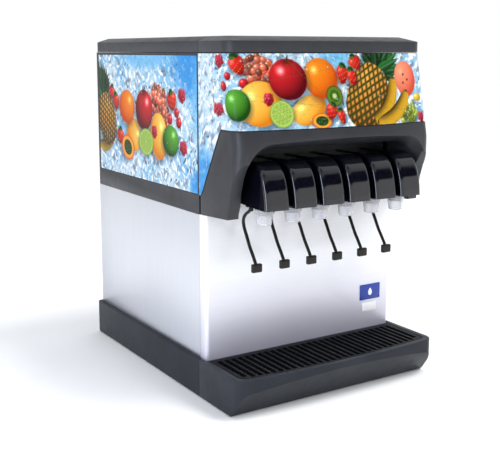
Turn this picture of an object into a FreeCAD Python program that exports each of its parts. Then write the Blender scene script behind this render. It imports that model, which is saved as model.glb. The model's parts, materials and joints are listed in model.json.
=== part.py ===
"""Countertop fountain soda dispenser with six valves over an ice-bank cooler, in millimetres.

+Z is up, -Y is the front (customer side) and X runs across.  The origin lies on the counter, under
the middle of the whole machine.  Every sub-part is drawn from the splash plane (the face behind the
nozzles is Y = 0) and its Placement then moves it by splash_y.
"""
import FreeCAD, Part
import math
import os
import re
import Sketcher
from FreeCAD import Placement, Rotation, Vector

doc = FreeCAD.newDocument("SodaDispenser")

DIMENSIONS = [
    ("valve_pitch", 63.5, "distance between dispensing valves"),
    ("body_width", 458, "stainless body, across"),
    ("body_back", 500, "splash plane to the back of the body"),
    ("seam", 23.5, "splash plane to the seam of the side panels"),
    ("base_width", 476, "base pan and drip tray, across"),
    ("base_height", 77, "top of the base pan and the drip tray"),
    ("base_front", 15, "front of the base pan"),
    ("base_back", 509, "back of the base pan"),
    ("ground_gap", 2, "base and tray above the counter"),
    ("tray_reach", 147, "front of the drip tray ahead of the splash plane"),
    ("tray_bow", 12.8, "rise of the bowed tray front"),
    ("rear_reach", 525, "end of the hose stubs behind the splash plane"),
    ("splash_y", -189, "splash plane in the frame of the part"),
    ("sheet", 1.2, "stainless sheet"),
    ("skirt", 62, "bottom edge of the stainless body"),
    ("splash_top", 361, "top of the stainless body"),
    ("band_top", 398, "top of the dark band"),
    ("panel_top", 664.5, "top of the graphic panels"),
    ("cover_bottom", 665, "bottom of the top cover"),
    ("cover_edge", 686, "top of the cover's upright edge"),
    ("cover_top", 695, "highest point"),
    ("cover_inset", 22, "width of the bevel on the cover's sides and back"),
    ("deck", 360, "top of the refrigeration deck"),
    ("post", 12, "thickness of the upper frame"),
    ("strip", 3, "visible width of the front posts"),
    ("rim", 4, "visible height of the frame under the cover"),
    ("rear_strip", 10, "visible width of the rear posts"),
    ("brow", 527, "top of the valve bezel"),
    ("brow_bulge", 498, "furthest-forward level of the bezel"),
    ("corner", 28, "rounded front corners of the bezel, panel and cover"),
    ("cover_reach", 95, "front of the cover ahead of the splash plane"),
    ("cover_bow", 10, "rise of the bowed cover front"),
    ("panel_reach", 134, "front of the front panel's lower edge"),
    ("panel_bow", 25, "rise of the front panel's lower edge"),
    ("bezel_reach", 143, "front of the bezel's bulge"),
    ("bezel_bow", 27, "rise of the bezel's bulge"),
    ("valve_width", 52, "one valve cover, across"),
    ("shell", 2.5, "wall of the moulded covers"),
    ("nozzle_y", -94, "nozzle axis"),
    ("nozzle_top", 383, "top of the nozzle"),
    ("nozzle_bottom", 352, "tip of the nozzle"),
    ("pivot_y", -50, "lever pivot"),
    ("pivot_z", 385, "lever pivot"),
    ("rod_radius", 3, "radius of the lever rod"),
    ("grille_pitch", 15, "bar to bar in the cup rest"),
    ("bar_width", 5, "width of one bar of the cup rest"),
    ("stub_radius", 4.8, "hose stubs"),
    ("gland_bore", 5, "radius of the supply cord gland's bore"),
    ("spigot_radius", 10, "drain spigot under the tray"),
]
VALVES = range(1, 7)

sheet = doc.addObject("Spreadsheet::Sheet", "Dimensions")
for row, (alias, value, note) in enumerate(DIMENSIONS, start=1):
    sheet.set(f"A{row}", note)
    sheet.set(f"B{row}", str(value))
    sheet.setAlias(f"B{row}", alias)
doc.recompute()
parts = []


def dim(text):
    """The number an expression of sheet aliases stands for."""
    if not isinstance(text, str):
        return float(text)
    return float(sheet.evalExpression(text))


def expression(text):
    """The same expression as another object of the document has to write it."""
    return re.sub(r"\b([a-z]\w*)", r"Dimensions.\1", text)


def bind(item, path, value):
    """Binds a property to the sheet, or sets it where the value is a plain number."""
    if isinstance(value, str):
        item.setExpression(path, expression(value))
    else:
        item.setExpression(path, str(float(value)))


def place(item, x=0, y=0, z=0):
    """Puts a finished sub-part at x, y, z from the splash plane's foot and lists it as a node."""
    bind(item, ".Placement.Base.x", x)
    bind(item, ".Placement.Base.y", f"splash_y + {y}")
    bind(item, ".Placement.Base.z", z)
    parts.append(item)
    return item


# ---------------------------------------------------------------- sketches and features

def new_body(label):
    body = doc.addObject("PartDesign::Body", label)
    body.Label = label
    return body


def new_sketch(body, plane, offset=0):
    """A sketch on one of the body's own planes; XZ looks from the front, so +offset is forward."""
    sketch = body.newObject("Sketcher::SketchObject", body.Name + "_sketch")
    role = plane + "_Plane"
    support = [item for item in body.Origin.OriginFeatures if item.Role == role][0]
    sketch.AttachmentSupport = [(support, "")]
    sketch.MapMode = "FlatFace"
    bind(sketch, ".AttachmentOffset.Base.z", offset)
    return sketch


def outline(sketch, points):
    """A closed polygon; each corner is tied to the sheet by its two distances from the origin."""
    first = sketch.GeometryCount
    count = len(points)
    numbers = [Vector(dim(x), dim(y), 0) for x, y in points]
    for i in range(count):
        sketch.addGeometry(Part.LineSegment(numbers[i], numbers[(i + 1) % count]), False)
    for i in range(count):
        after = first + (i + 1) % count
        sketch.addConstraint(Sketcher.Constraint("Coincident", first + i, 2, after, 1))
    for i, (x, y) in enumerate(points):
        for kind, value, number in (("DistanceX", x, numbers[i].x), ("DistanceY", y, numbers[i].y)):
            tie = sketch.addConstraint(Sketcher.Constraint(kind, -1, 1, first + i, 1, number))
            if isinstance(value, str):
                name = f"{kind[-1].lower()}{first + i}"
                sketch.renameConstraint(tie, name)
                bind(sketch, "Constraints." + name, value)


def rectangle(sketch, left, low, right, high):
    outline(sketch, [(left, low), (right, low), (right, high), (left, high)])


def circle(sketch, x, y, radius):
    round_edge = Part.Circle(Vector(dim(x), dim(y), 0), Vector(0, 0, 1), dim(radius))
    index = sketch.addGeometry(round_edge, False)
    for kind, value in (("DistanceX", x), ("DistanceY", y)):
        tie = sketch.addConstraint(Sketcher.Constraint(kind, -1, 1, index, 3, dim(value)))
        if isinstance(value, str):
            sketch.renameConstraint(tie, f"c{kind[-1].lower()}{index}")
            bind(sketch, f"Constraints.c{kind[-1].lower()}{index}", value)
    tie = sketch.addConstraint(Sketcher.Constraint("Radius", index, dim(radius)))
    if isinstance(radius, str):
        sketch.renameConstraint(tie, f"radius{index}")
        bind(sketch, f"Constraints.radius{index}", radius)


def curves(sketch, edges):
    """Closed outline of ready-made lines and arcs, joined end to start."""
    sketch.addGeometry(edges, False)


def extrude(body, kind, sketch, length, back=False, both=False):
    """A Pad or a Pocket, with a check that it changed the solid."""
    before = body.Shape.Volume if body.Tip else 0
    feature = body.newObject("PartDesign::" + kind, body.Name + "_" + kind)
    feature.Profile = (sketch, [])
    if length == "through":
        feature.Type = 0
        length = 2000
    bind(feature, ".Length", length)
    feature.Reversed = back
    if both:
        feature.SideType = "Symmetric"
    doc.recompute()
    if abs(body.Shape.Volume - before) < 1e-3:
        raise RuntimeError(f"{feature.Name} of {body.Label} changed nothing")
    return feature


def pad(body, sketch, length, **how):
    return extrude(body, "Pad", sketch, length, **how)


def pocket(body, sketch, length, **how):
    return extrude(body, "Pocket", sketch, length, **how)


def revolve(body, points):
    """Turns a profile of radius and height about the body's vertical axis."""
    sketch = new_sketch(body, "XZ")
    outline(sketch, points)
    feature = body.newObject("PartDesign::Revolution", body.Name + "_Revolution")
    feature.Profile = (sketch, [])
    feature.ReferenceAxis = (sketch, ["V_Axis"])
    feature.Angle = 360
    doc.recompute()
    return feature


def dress(body, kind, size, chosen):
    """A Fillet or Chamfer on every edge of the tip that the rule picks."""
    base = body.Tip
    names = [f"Edge{i + 1}" for i, edge in enumerate(base.Shape.Edges) if chosen(edge)]
    if not names:
        raise RuntimeError(f"no edge to {kind} on {body.Label}")
    feature = body.newObject("PartDesign::" + kind, body.Name + "_" + kind)
    feature.Base = (base, names)
    if kind == "Fillet":
        bind(feature, ".Radius", size)
    else:
        bind(feature, ".Size", size)
    doc.recompute()
    return feature


def repeat(body, feature, sketch, axis, step, count):
    """The feature again and again along an axis of its sketch."""
    pattern = body.newObject("PartDesign::LinearPattern", body.Name + "_LinearPattern")
    pattern.Originals = [feature]
    pattern.Direction = (sketch, [axis])
    pattern.Length = abs(step) * (count - 1)
    pattern.Reversed = step < 0
    pattern.Occurrences = count
    body.Tip = pattern
    doc.recompute()
    return pattern


def is_upright(edge):
    ends = edge.Vertexes
    if len(ends) < 2:
        return False
    low, high = ends[0].Point, ends[-1].Point
    return abs(low.x - high.x) < 0.01 and abs(low.y - high.y) < 0.01


def at(edge, x=None, y=None, z=None, near=0.6):
    """Whether the middle of an edge lies at the given coordinates."""
    middle = edge.CenterOfMass
    wanted = ((x, middle.x), (y, middle.y), (z, middle.z))
    return all(goal is None or abs(goal - value) < near for goal, value in wanted)


# ---------------------------------------------------------------- bowed outlines

def bowed_outline(half, back, reach, bow, corner):
    """Plan outline with a bowed front: straight sides, tangent corner arcs and one long front arc.

    half is half the width, back the Y of the straight rear edge, reach the distance of the front's
    middle ahead of Y = 0, and bow how much further forward the middle is than the corners.
    """
    radius = (half * half + bow * bow) / (2 * bow)
    centre_y = radius - reach
    corner_x = half - corner
    corner_y = centre_y - math.sqrt((radius - corner) ** 2 - corner_x ** 2)
    scale = radius / (radius - corner)
    touch_x = corner_x * scale
    touch_y = centre_y + (corner_y - centre_y) * scale
    turn = math.atan2(touch_y - corner_y, touch_x - corner_x) / 2
    mid_x = corner_x + corner * math.cos(turn)
    mid_y = corner_y + corner * math.sin(turn)
    points = {
        "rear_left": Vector(-half, back, 0),
        "side_left": Vector(-half, corner_y, 0),
        "mid_left": Vector(-mid_x, mid_y, 0),
        "touch_left": Vector(-touch_x, touch_y, 0),
        "front": Vector(0, -reach, 0),
        "touch_right": Vector(touch_x, touch_y, 0),
        "mid_right": Vector(mid_x, mid_y, 0),
        "side_right": Vector(half, corner_y, 0),
        "rear_right": Vector(half, back, 0),
    }
    return [
        Part.LineSegment(points["rear_left"], points["side_left"]),
        Part.Arc(points["side_left"], points["mid_left"], points["touch_left"]),
        Part.Arc(points["touch_left"], points["front"], points["touch_right"]),
        Part.Arc(points["touch_right"], points["mid_right"], points["side_right"]),
        Part.LineSegment(points["side_right"], points["rear_right"]),
        Part.LineSegment(points["rear_right"], points["rear_left"]),
    ]


def bowed_sketch(body, level, half, back, reach, bow, corner):
    sketch = new_sketch(body, "XY", level)
    curves(sketch, bowed_outline(dim(half), dim(back), dim(reach), dim(bow), dim(corner)))
    return sketch


def loft(body, kind, sections):
    feature = body.newObject("PartDesign::" + kind, body.Name + "_" + kind)
    feature.Profile = sections[0]
    feature.Sections = sections[1:]
    feature.Ruled = True
    doc.recompute()
    return feature


# ---------------------------------------------------------------- base, tray and cup rest

def base_pan():
    """Deep tub under the machine, open where the splash panel's returns come down in front."""
    wall = 8
    floor_top = 14
    floor_low = 10
    body = new_body("base_pan")
    sketch = new_sketch(body, "XY", "ground_gap")
    rectangle(sketch, "-base_width / 2", "base_front", "base_width / 2", "base_back")
    pad(body, sketch, "base_height - ground_gap")
    dress(body, "Fillet", 6, lambda e: is_upright(e) and at(e, y=dim("base_back")))
    dress(body, "Chamfer", 1.5, lambda e: at(e, z=dim("base_height")) and abs(e.CenterOfMass.x) > 1)
    sketch = new_sketch(body, "XY", "base_height")
    rectangle(sketch, f"{wall} - base_width / 2", f"base_front + {wall}",
              f"base_width / 2 - {wall}", f"base_back - {wall}")
    pocket(body, sketch, f"base_height - {floor_top}")
    sketch = new_sketch(body, "XY", "base_height")
    rectangle(sketch, f"{wall} - base_width / 2", f"base_front - 1",
              f"base_width / 2 - {wall}", f"base_front + {wall}")
    pocket(body, sketch, "base_height - skirt + 2")
    sketch = new_sketch(body, "XY", "ground_gap")
    rectangle(sketch, f"{wall} - base_width / 2", f"base_front + {wall}",
              f"base_width / 2 - {wall}", f"base_back - {wall}")
    pocket(body, sketch, f"{floor_low} - ground_gap", back=True)
    return place(body)


def rubber_feet():
    """Four round feet under the floor of the pan, as one group."""
    feet = []
    for x in (-200, 200):
        for y in (55, 470):
            foot = doc.addObject("Part::Cone", "foot")
            foot.Radius1 = 17
            foot.Radius2 = 20
            foot.Height = 10
            foot.Placement.Base = Vector(x, y, 0)
            feet.append(foot)
    group = doc.addObject("Part::Compound", "rubber_feet")
    group.Label = "rubber_feet"
    group.Links = feet
    return place(group)


def drip_tray():
    """Bowed catch basin whose front leans back under the rim; its wings reach past the splash."""
    lean = 0.72
    rim = 12
    ledge = 68
    basin_floor = 34
    setback = 16
    hollow_top = 30
    body = new_body("drip_tray")
    sketch = bowed_sketch(body, "ground_gap", "base_width / 2", 14, "tray_reach", "tray_bow", 24)
    pad(body, sketch, "base_height - ground_gap")
    sketch = new_sketch(body, "YZ")
    outline(sketch, [(-100, 0), (f"-100 - {lean} * base_height * 2", "base_height * 2"),
                     (-300, "base_height * 2"), (-300, -5), (-100, -5)])
    pocket(body, sketch, "through", both=True)
    sketch = new_sketch(body, "XY", -5)
    rectangle(sketch, "-body_width / 2 - 1", -1, "body_width / 2 + 1", 20)
    pocket(body, sketch, "through", back=True)
    sketch = bowed_sketch(body, "base_height", f"base_width / 2 - {rim}", -7,
                          f"tray_reach - {rim}", "tray_bow", 14)
    pocket(body, sketch, f"base_height - {ledge}")
    sketch = bowed_sketch(body, ledge, f"base_width / 2 - {rim} - 5", -10,
                          f"tray_reach - {rim} - {setback}", "tray_bow", 12)
    pocket(body, sketch, f"{ledge} - {basin_floor}")
    sketch = new_sketch(body, "XY", 0)
    rectangle(sketch, -226, -92, 226, -6)
    pocket(body, sketch, hollow_top, back=True)
    sketch = new_sketch(body, "XY", f"{hollow_top} - 18")
    circle(sketch, 150, -60, "spigot_radius")
    pad(body, sketch, 19)
    sketch = new_sketch(body, "XY", 0)
    circle(sketch, 150, -60, "spigot_radius - 2.5")
    pocket(body, sketch, 60, back=True)
    return place(body)


def cup_rest():
    """Bars from front to back in a bowed rim, tied by low cross ribs."""
    low = 68.3
    height = 8
    half = 225.2
    reach = 134.2
    margin = 7
    body = new_body("cup_rest")
    sketch = bowed_sketch(body, low, half, -7.8, reach, "tray_bow", 13)
    pad(body, sketch, height)
    pitch = dim("grille_pitch")
    slot_half = (pitch - dim("bar_width")) / 2
    bow_radius = (half * half + dim("tray_bow") ** 2) / (2 * dim("tray_bow"))
    sketch = new_sketch(body, "XY", f"{low} + {height}")
    last = int((half - margin - slot_half) / pitch)
    for i in range(-last, last + 1):
        x = i * pitch
        furthest = abs(x) + slot_half
        front = margin - reach + bow_radius - math.sqrt(bow_radius ** 2 - furthest ** 2)
        if abs(i) == last:
            front += 6
        rectangle(sketch, x - slot_half, front, x + slot_half, -7.8 - margin)
    pocket(body, sketch, height)
    sketch = new_sketch(body, "XY", low)
    rectangle(sketch, margin - half + 2, -26, half - margin - 2, -23)
    rib = pad(body, sketch, 4)
    repeat(body, rib, sketch, "V_Axis", -pitch, 7)
    return place(body)


# ---------------------------------------------------------------- stainless body

def folded_front(half, back, radius, thick):
    """Plan outline of a sheet folded round both front corners."""
    inner = radius - thick
    slant = math.sqrt(0.5)

    def corner_arc(side, bend):
        centre = Vector(side * (half - radius), radius, 0)
        start = centre + Vector(side * bend, 0, 0)
        middle = centre + Vector(side * bend * slant, -bend * slant, 0)
        end = centre + Vector(0, -bend, 0)
        return start, middle, end

    edges = []
    outer_left = corner_arc(-1, radius)
    outer_right = corner_arc(1, radius)
    inner_left = corner_arc(-1, inner)
    inner_right = corner_arc(1, inner)
    chain = [
        Vector(-half, back, 0), outer_left[0], outer_left[2], outer_right[2], outer_right[0],
        Vector(half, back, 0), Vector(half - thick, back, 0), inner_right[0], inner_right[2],
        inner_left[2], inner_left[0], Vector(thick - half, back, 0),
    ]
    bends = {1: outer_left[1], 3: outer_right[1], 7: inner_right[1], 9: inner_left[1]}
    for i, start in enumerate(chain):
        end = chain[(i + 1) % len(chain)]
        if i in bends:
            edges.append(Part.Arc(start, bends[i], end))
        else:
            edges.append(Part.LineSegment(start, end))
    return edges


def splash_panel():
    """Stainless front sheet, folded back along both sides, with a tongue up behind the levers."""
    body = new_body("splash_panel")
    sketch = new_sketch(body, "XY", "skirt")
    curves(sketch, folded_front(dim("body_width / 2"), dim("seam"), 8, dim("sheet")))
    pad(body, sketch, "splash_top - skirt")
    sketch = new_sketch(body, "XZ")
    rectangle(sketch, -200, "splash_top - 2", 200, "splash_top + 25")
    pad(body, sketch, "sheet", back=True)
    return place(body)


def side_panel(label, side):
    """Stainless side sheet with a rear return; side is -1 on the left and 1 on the right."""
    body = new_body(label)
    sketch = new_sketch(body, "XY", "skirt")
    outer = f"{side} * body_width / 2"
    inner = f"{side} * ( body_width / 2 - sheet )"
    lip = f"{side} * ( body_width / 2 - 14 )"
    outline(sketch, [(outer, "seam + 0.8"), (outer, "body_back"), (lip, "body_back"),
                     (lip, "body_back - sheet"), (inner, "body_back - sheet"), (inner, "seam + 0.8")])
    pad(body, sketch, "splash_top - 1 - skirt")
    return place(body)


def rear_panel():
    """Back sheet with cooling slots, screw holes and the holes for the hose stubs and the gland."""
    body = new_body("rear_panel")
    sketch = new_sketch(body, "XZ", "-body_back")
    rectangle(sketch, "4 - body_width / 2", "base_height + 3", "body_width / 2 - 4", "panel_top - 0.5")
    pad(body, sketch, "sheet", back=True)
    sketch = new_sketch(body, "XZ", "-body_back + 2")
    rectangle(sketch, -10, 420, 190, 426)
    slots = pocket(body, sketch, 6)
    repeat(body, slots, sketch, "V_Axis", 14, 14)
    sketch = new_sketch(body, "XZ", "-body_back + 2")
    for x, z in stub_places():
        circle(sketch, x, z, 7)
    for x, z in screw_places():
        circle(sketch, x, z, 2.2)
    circle(sketch, GLAND_X, STUB_Z, 9.5)
    pocket(body, sketch, 6)
    return place(body)


STUB_Z = 110
STUB_STEP = 30
GLAND_X = -190


def screw_places():
    return [(x, z) for x in (-221, 221) for z in (90, 220, 345, 500, 650)]


def stub_places():
    """Six syrup lines, then water and gas a little apart."""
    syrup = [(-75 + STUB_STEP * i, STUB_Z) for i in range(6)]
    return syrup + [(120, STUB_Z), (160, STUB_Z)]


def inlet_fittings():
    """Hose stubs through the rear panel, as one group."""
    stubs = []
    for x, z in stub_places():
        pieces = []
        for radius, start, length in (("stub_radius", "body_back + sheet + 3",
                                       "rear_reach - body_back - sheet - 3"),
                                      (10, "body_back + sheet", 3),
                                      (6.5, "body_back - 8", "8 + sheet")):
            piece = doc.addObject("Part::Cylinder", "stub_piece")
            bind(piece, ".Radius", radius)
            bind(piece, ".Height", length)
            piece.Placement = Placement(Vector(x, dim(start), z), Rotation(Vector(1, 0, 0), -90))
            pieces.append(piece)
        stub = doc.addObject("Part::MultiFuse", "stub")
        stub.Shapes = pieces
        stubs.append(stub)
    group = doc.addObject("Part::Compound", "inlet_fittings")
    group.Label = "inlet_fittings"
    group.Links = stubs
    return place(group)


def cord_gland():
    """Gland for the supply cord: a body through the panel, a hex cap outside and a nut inside."""
    body = new_body("cord_gland")
    sketch = new_sketch(body, "XZ", "-body_back - sheet")
    circle(sketch, GLAND_X, STUB_Z, 9)
    pad(body, sketch, 16, both=True)
    sketch = new_sketch(body, "XZ", "-body_back - sheet")
    corners = [(GLAND_X + 14 * math.cos(math.radians(60 * i)),
                STUB_Z + 14 * math.sin(math.radians(60 * i))) for i in range(6)]
    outline(sketch, corners)
    pad(body, sketch, 12, back=True)
    sketch = new_sketch(body, "XZ", "-body_back")
    outline(sketch, corners)
    pad(body, sketch, 4)
    sketch = new_sketch(body, "XZ", "-body_back")
    circle(sketch, GLAND_X, STUB_Z, "gland_bore")
    pocket(body, sketch, 60, both=True)
    return place(body)


# ---------------------------------------------------------------- upper housing

def upper_frame():
    """Dark band round the deck, four posts that hold the side graphics and a ring under the cover."""
    body = new_body("upper_frame")
    front = "seam + 0.5"
    inner_x = "body_width / 2 - post"

    def ring(level, height, depth):
        sketch = new_sketch(body, "XY", level)
        rectangle(sketch, "-body_width / 2", front, "body_width / 2", "body_back")
        rectangle(sketch, "post - body_width / 2", f"{front} + {depth}", inner_x,
                  "body_back - post")
        pad(body, sketch, height)

    ring("deck + 0.4", "band_top - deck - 0.4", 16)
    for side in (-1, 1):
        sketch = new_sketch(body, "XY", "band_top - 1")
        left = f"{side} * body_width / 2"
        right = f"{side} * ( body_width / 2 - post )"
        rectangle(sketch, left, front, right, f"{front} + strip")
        rectangle(sketch, left, "body_back - rear_strip", right, "body_back")
        pad(body, sketch, "panel_top - band_top")
    ring("panel_top - rim", "rim", 6)
    return place(body)


def side_graphic(label, side):
    """Printed side panel held between the posts."""
    body = new_body(label)
    sketch = new_sketch(body, "YZ", f"{side} * ( body_width / 2 - 1.5 )")
    rectangle(sketch, "seam + strip + 0.8", "band_top + 0.3", "body_back - rear_strip - 0.3",
              "panel_top - rim - 0.3")
    pad(body, sketch, 2, both=True)
    return place(body)


# Two points (Y, Z) of the joint that slants up between the bezel's leg and the front panel.
SLANT_LOW = (15, 397)
SLANT_HIGH = (-54, 521)


def front_graphic():
    """Printed front panel: bowed, leaning out towards the bezel and wrapped round both corners."""
    thick = 3
    body = new_body("front_graphic")
    low = dim("band_top") - 1
    rise = (dim("brow") - low) / (dim("panel_top") - dim("brow"))
    reach_low = dim("panel_reach") + rise * (dim("panel_reach") - dim("cover_reach") + 1)
    bow_low = dim("panel_bow") + rise * (dim("panel_bow") - dim("cover_bow"))
    half = dim("body_width / 2")
    back = dim("seam")

    def section(level, inset, reach, bow):
        return bowed_sketch(body, level, half - inset, back, reach - inset, bow,
                            dim("corner") - inset)

    loft(body, "AdditiveLoft", [section(low, 0, reach_low, bow_low),
                                section("panel_top", 0, dim("cover_reach") - 1, dim("cover_bow"))])
    sketches = []
    for level, reach, bow in ((low, reach_low, bow_low),
                              ("panel_top", dim("cover_reach") - 1, dim("cover_bow"))):
        sketch = new_sketch(body, "XY", level)
        edges = bowed_outline(half - thick, back + 5, reach - thick, bow, dim("corner") - thick)
        curves(sketch, edges)
        sketches.append(sketch)
    loft(body, "SubtractiveLoft", sketches)
    sketch = new_sketch(body, "YZ")
    outline(sketch, [(40, low - 5), (40, SLANT_LOW[1] + 0.5), SLANT_LOW, SLANT_HIGH,
                     (SLANT_HIGH[0] - 6, "brow"), (-400, "brow"), (-400, low - 5)])
    pocket(body, sketch, "through", both=True)
    return place(body)


def arch_sketch(body, forward, half, shoulder, top):
    """Arched opening of the bezel in an upright plane: straight legs, round shoulders, flat top."""
    low = 340
    spring = top - shoulder
    slant = math.sqrt(0.5)
    edges = [Part.LineSegment(Vector(-half, low, 0), Vector(half, low, 0))]
    foot = Vector(half, spring, 0)
    crown = Vector(half - shoulder, top, 0)
    middle = Vector(half - shoulder + shoulder * slant, spring + shoulder * slant, 0)

    def mirrored(point):
        return Vector(-point.x, point.y, 0)

    edges.append(Part.LineSegment(Vector(half, low, 0), foot))
    edges.append(Part.Arc(foot, middle, crown))
    edges.append(Part.LineSegment(crown, mirrored(crown)))
    edges.append(Part.Arc(mirrored(crown), mirrored(middle), mirrored(foot)))
    edges.append(Part.LineSegment(mirrored(foot), Vector(-half, low, 0)))
    sketch = new_sketch(body, "XZ", -forward)
    curves(sketch, edges)
    return sketch


def valve_bezel():
    """Dark cowl over the valves: a bulging brow, two tapering legs and a flared arch between them."""
    arch_depth = -98
    shoulder = 55
    body = new_body("valve_bezel")
    bottom = dim("splash_top") + 0.4
    half = "body_width / 2"
    bulge = ("bezel_reach", "bezel_bow", "corner")
    sketch = bowed_sketch(body, bottom, half, 18, *bulge)
    pad(body, sketch, f"brow_bulge - {bottom}")
    lower = bowed_sketch(body, "brow_bulge", half, 18, *bulge)
    upper = bowed_sketch(body, "brow - 0.4", half, 18, "panel_reach + 2", "panel_bow", "corner")
    loft(body, "AdditiveLoft", [lower, upper])
    sketch = new_sketch(body, "YZ")
    outline(sketch, [(-200, 462), (-117, 468), (-108, 455), (-98, 438), (-89, 412), (-87, 390),
                     (-81, 374), (-80, 365.5), (10, 361), (10, 350), (-200, 350)])
    pocket(body, sketch, "through", both=True)
    sketch = new_sketch(body, "YZ")
    outline(sketch, [(SLANT_LOW[0] - 0.4, SLANT_LOW[1]), (SLANT_HIGH[0] - 0.4, SLANT_HIGH[1] + 0.2),
                     (SLANT_HIGH[0] - 6.4, "brow - 0.2"), (SLANT_HIGH[0] - 6.4, 600), (60, 600),
                     (60, SLANT_LOW[1])])
    pocket(body, sketch, "through", both=True)
    front = arch_sketch(body, -146, 221, shoulder, 511)
    inner = arch_sketch(body, arch_depth, 205, shoulder, 491)
    loft(body, "SubtractiveLoft", [front, inner])
    inner = arch_sketch(body, arch_depth, 205, shoulder, 491)
    pocket(body, inner, 200)
    return place(body)


def valve_mount_plate():
    """Upright plate that carries the valves, with a flange that closes the cavity above them."""
    body = new_body("valve_mount_plate")
    sketch = new_sketch(body, "YZ")
    outline(sketch, [(-6, "splash_top + 26"), (-1, "splash_top + 26"), (-1, 498), (-36, 498),
                     (-36, 494), (-6, 494)])
    pad(body, sketch, 400, both=True)
    sketch = new_sketch(body, "XZ", 10)
    for i in VALVES:
        for side in (-10, 10):
            circle(sketch, f"( {i} - 3.5 ) * valve_pitch + {side}", 440, 4)
    pocket(body, sketch, 20)
    return place(body)


def front_hood():
    """Front part of the lid: bowed, with a wide bevel all round its front."""
    wall = 3
    body = new_body("front_hood")
    back = "seam - 0.4"
    reach = "cover_reach + 0.5"
    half = "body_width / 2"
    sketch = bowed_sketch(body, "cover_bottom", half, back, reach, "cover_bow", "corner")
    pad(body, sketch, "cover_edge - cover_bottom")
    edge = bowed_sketch(body, "cover_edge", half, back, reach, "cover_bow", "corner")
    crown = bowed_sketch(body, "cover_top", "body_width / 2 - cover_inset", back,
                         "cover_reach - 38", "cover_bow", 16)
    loft(body, "AdditiveLoft", [edge, crown])
    sketch = bowed_sketch(body, "cover_bottom", f"body_width / 2 - {wall}", "seam - 4",
                          f"cover_reach - {wall}", "cover_bow", f"corner - {wall}")
    pocket(body, sketch, "cover_edge - cover_bottom - 3", back=True)
    return place(body)


def top_cover():
    """Main lid that lifts off for service, bevelled on both sides and at the back."""
    wall = 3
    body = new_body("top_cover")
    front = "seam + 0.4"
    sketch = new_sketch(body, "XY", "cover_bottom")
    rectangle(sketch, "-body_width / 2", front, "body_width / 2", "body_back + 3")
    pad(body, sketch, "cover_edge - cover_bottom")
    sections = []
    for level, inset in (("cover_edge", "0"), ("cover_top", "cover_inset")):
        sketch = new_sketch(body, "XY", level)
        rectangle(sketch, f"{inset} - body_width / 2", front, f"body_width / 2 - {inset}",
                  f"body_back + 3 - {inset}")
        sections.append(sketch)
    loft(body, "AdditiveLoft", sections)
    dress(body, "Fillet", 12, lambda e: is_upright(e) and at(e, y=dim("body_back + 3")))
    sketch = new_sketch(body, "XY", "cover_bottom")
    rectangle(sketch, f"{wall} - body_width / 2", f"{front} + {wall}", f"body_width / 2 - {wall}",
              f"body_back + 3 - {wall}")
    pocket(body, sketch, "cover_edge - cover_bottom - 3", back=True)
    return place(body)


# ---------------------------------------------------------------- valves

def valve_x(number):
    return f"( {number} - 3.5 ) * valve_pitch"


def valve_cover(number):
    """Glossy moulded cover with a rounded nose, hollow from below and from behind."""
    body = new_body(f"valve_cover_{number}")
    back = -9
    nose = [Vector(-142, 391, 0), Vector(-138.6, 405, 0), Vector(-131.5, 434, 0),
            Vector(-122, 453, 0), Vector(-98, 470, 0)]
    curve = Part.BSplineCurve()
    curve.interpolate(Points=nose, InitialTangent=Vector(0.2, 1, 0), FinalTangent=Vector(1, 0, 0))
    chain = [nose[-1], Vector(back, 470, 0), Vector(back, 390, 0),
             Vector(-76, 390, 0), Vector(-78, 385, 0), Vector(-136, 385, 0)]
    foot = Part.Arc(chain[-1], Vector(-140.6, 386.9, 0), nose[0])
    sketch = new_sketch(body, "YZ")
    edges = [curve]
    for start, end in zip(chain, chain[1:]):
        edges.append(Part.LineSegment(start, end))
    edges.append(foot)
    curves(sketch, edges)
    pad(body, sketch, "valve_width", both=True)
    side = dim("valve_width / 2")

    def on_nose(edge):
        middle = edge.CenterOfMass
        return abs(abs(middle.x) - side) < 0.05 and middle.y < -30 and middle.z > 385.5

    dress(body, "Fillet", 6.5, lambda e: on_nose(e) and e.Length > 12)
    sketch = new_sketch(body, "YZ")
    outline(sketch, [(-132, 380), (-130, 402), (-124, 430), (-114, 450), (-99, 464),
                     (back + 1, 464), (back + 1, 380)])
    pocket(body, sketch, "valve_width - 2 * shell - 4", both=True)
    return place(body, valve_x(number))


def valve_body(number):
    """Valve block with its nozzle spout below and the ears that hold the lever's pivot."""
    body = new_body(f"valve_body_{number}")
    sketch = new_sketch(body, "YZ")
    outline(sketch, [(-112, 392), (-112, 440), (-60, 452), (-6.2, 452), (-6.2, 392)])
    pad(body, sketch, 40, both=True)
    sketch = new_sketch(body, "XY", 372)
    circle(sketch, 0, "nozzle_y", 13)
    pad(body, sketch, 21)
    sketch = new_sketch(body, "XY", 384)
    circle(sketch, 0, "nozzle_y", 16.5)
    pad(body, sketch, 9)
    sketch = new_sketch(body, "XY", 371)
    circle(sketch, 0, "nozzle_y", 7)
    pocket(body, sketch, 40, back=True)
    for side in (-1, 1):
        sketch = new_sketch(body, "YZ", 8.5 * side)
        outline(sketch, [("pivot_y - 6", 393), ("pivot_y - 6", "pivot_z"), ("pivot_y - 3", "pivot_z - 5"),
                         ("pivot_y + 3", "pivot_z - 5"), ("pivot_y + 6", "pivot_z"),
                         ("pivot_y + 6", 393)])
        pad(body, sketch, 3, both=True)
    sketch = new_sketch(body, "YZ")
    circle(sketch, "pivot_y", "pivot_z", 1.5)
    pad(body, sketch, 24, both=True)
    return place(body, valve_x(number))


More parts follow.
